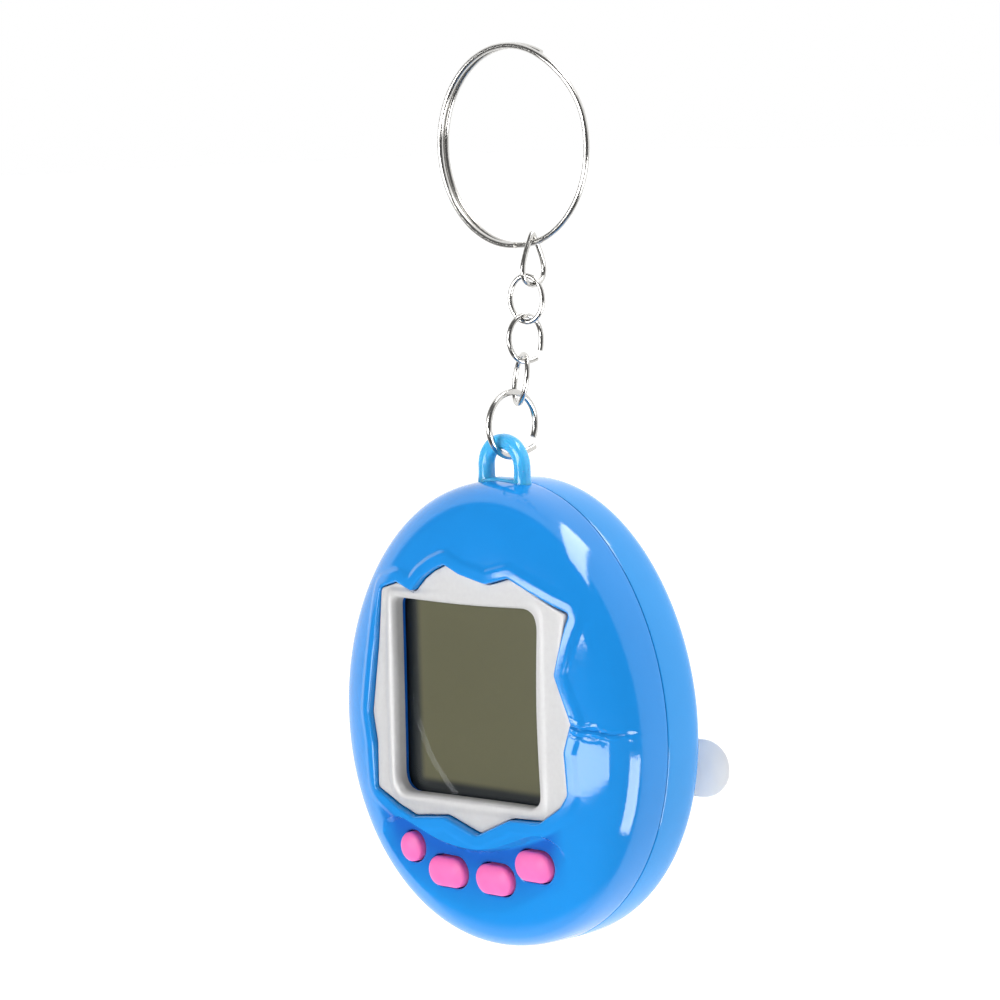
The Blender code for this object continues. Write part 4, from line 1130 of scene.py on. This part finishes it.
def softbox(name, azimuth, elevation, width, height, glow, roll=0.0):
    """A rectangular lamp 0.9 m from the case; glow is its brightness to a mirror."""
    light = bpy.data.lights.new(name, "AREA")
    light.shape = "RECTANGLE"
    light.size, light.size_y = width, height
    light.energy = glow * math.pi * width * height
    obj = bpy.data.objects.new(name, light)
    away = direction(azimuth, elevation)
    turn = away.to_track_quat("Z", "Y").to_matrix().to_4x4()
    spin = Matrix.Rotation(math.radians(roll), 4, "Z")
    obj.matrix_world = Matrix.Translation(CENTRE + away * 0.9) @ turn @ spin
    obj.visible_camera = False
    SCENE.collection.objects.link(obj)
    return obj


def make_floor():
    mat, tree, shader = new_material("pale_floor")
    set_inputs(shader, Roughness=0.9, Specular_IOR_Level=0.1,
               Emission_Color=(1.0, 1.0, 1.0, 1.0), Emission_Strength=0.6)
    tone = ramp(tree, noise(tree, 3.0), 0.0, 1.0)
    tone = blend_colour(tree, tone, (0.86, 0.86, 0.86), (0.88, 0.88, 0.88))
    tree.links.new(tone, shader.inputs["Base Color"])
    mesh = bpy.data.meshes.new("floor")
    half, low = 6.0, CENTRE.z - (HALF_H + 60.0) * MM
    corners = ((-half, -half), (half, -half), (half, half), (-half, half))
    mesh.from_pydata([(x, y, low) for x, y in corners], [], [(0, 1, 2, 3)])
    mesh.materials.append(mat)
    floor = bpy.data.objects.new("floor", mesh)
    floor.visible_glossy = False
    SCENE.collection.objects.link(floor)


def make_world():
    """White sweep behind and below the object and at its left, dim in front, white to the camera.

    Diffuse surfaces see it a little dimmer than mirrors do.
    """
    world = bpy.data.worlds.new("studio")
    SCENE.world = world
    world.use_nodes = True
    tree = world.node_tree
    shader = tree.nodes["Background"]
    coord = add_node(tree, "TexCoord")

    def glow(towards, start, end, low, high):
        """Brightness that rises as a ray turns towards a direction."""
        dot = add_node(tree, "VectorMath")
        dot.operation = "DOT_PRODUCT"
        tree.links.new(coord.outputs["Generated"], dot.inputs[0])
        dot.inputs[1].default_value = towards
        return ramp(tree, dot.outputs["Value"], low, high, start, end, eased=True)

    behind = glow((-0.29, 0.93, 0.2), 0.0, 0.12, 0.12, 1.25)
    below = glow((-0.5, 0.5, -0.7), 0.5, 0.78, 0.0, 0.9)
    left = glow((-0.94, 0.3, -0.16), 0.77, 0.83, 0.0, 1.25)
    brightest = math_node(tree, "MAXIMUM", math_node(tree, "MAXIMUM", behind, below), left)
    path = add_node(tree, "LightPath")
    share = ramp(tree, path.outputs["Is Diffuse Ray"], 1.0, 0.68, 0.0, 1.0)
    soft = math_node(tree, "MULTIPLY", brightest, share)
    seen = add_node(tree, "Mix")
    seen.data_type = "FLOAT"
    tree.links.new(path.outputs["Is Camera Ray"], seen.inputs["Factor"])
    tree.links.new(soft, seen.inputs["A"])
    seen.inputs["B"].default_value = 1.0
    tree.links.new(seen.outputs["Result"], shader.inputs["Strength"])
    set_inputs(shader, Color=(1.0, 1.0, 1.0, 1.0))


make_floor()
make_world()
softbox("front_box", -2.0, -13.5, 1.0, 0.17, 8.5, roll=-5.0)
softbox("high_box", -14.0, 10.0, 0.84, 0.19, 10.3, roll=25.0)
softbox("side_box", 95.0, -29.0, 0.42, 0.5, 11.5)
softbox("top_box", 116.0, 68.0, 0.8, 0.27, 11.0)
softbox("left_fill", -47.0, -20.0, 0.45, 0.35, 6.0).visible_glossy = False

camera_data = bpy.data.cameras.new("camera")
camera = bpy.data.objects.new("camera", camera_data)
camera_data.lens, camera_data.sensor_width = 143.5212, 36.0
camera_data.clip_start, camera_data.clip_end = 0.01, 50.0
azimuth, elevation, tilt = 45.5, 6.04073, -1.66653
back = direction(azimuth, elevation)
right = Vector((math.cos(math.radians(azimuth)), math.sin(math.radians(azimuth)), 0.0))
turned = Matrix((right, back.cross(right), back)).transposed()
turned = turned @ Matrix.Rotation(math.radians(tilt), 3, "Z")
place = CENTRE + Vector((341.981, -338.264, 76.839)) * MM
camera.matrix_world = Matrix.Translation(place) @ turned.to_4x4()
SCENE.collection.objects.link(camera)
SCENE.camera = camera
SCENE.view_settings.view_transform = "Standard"
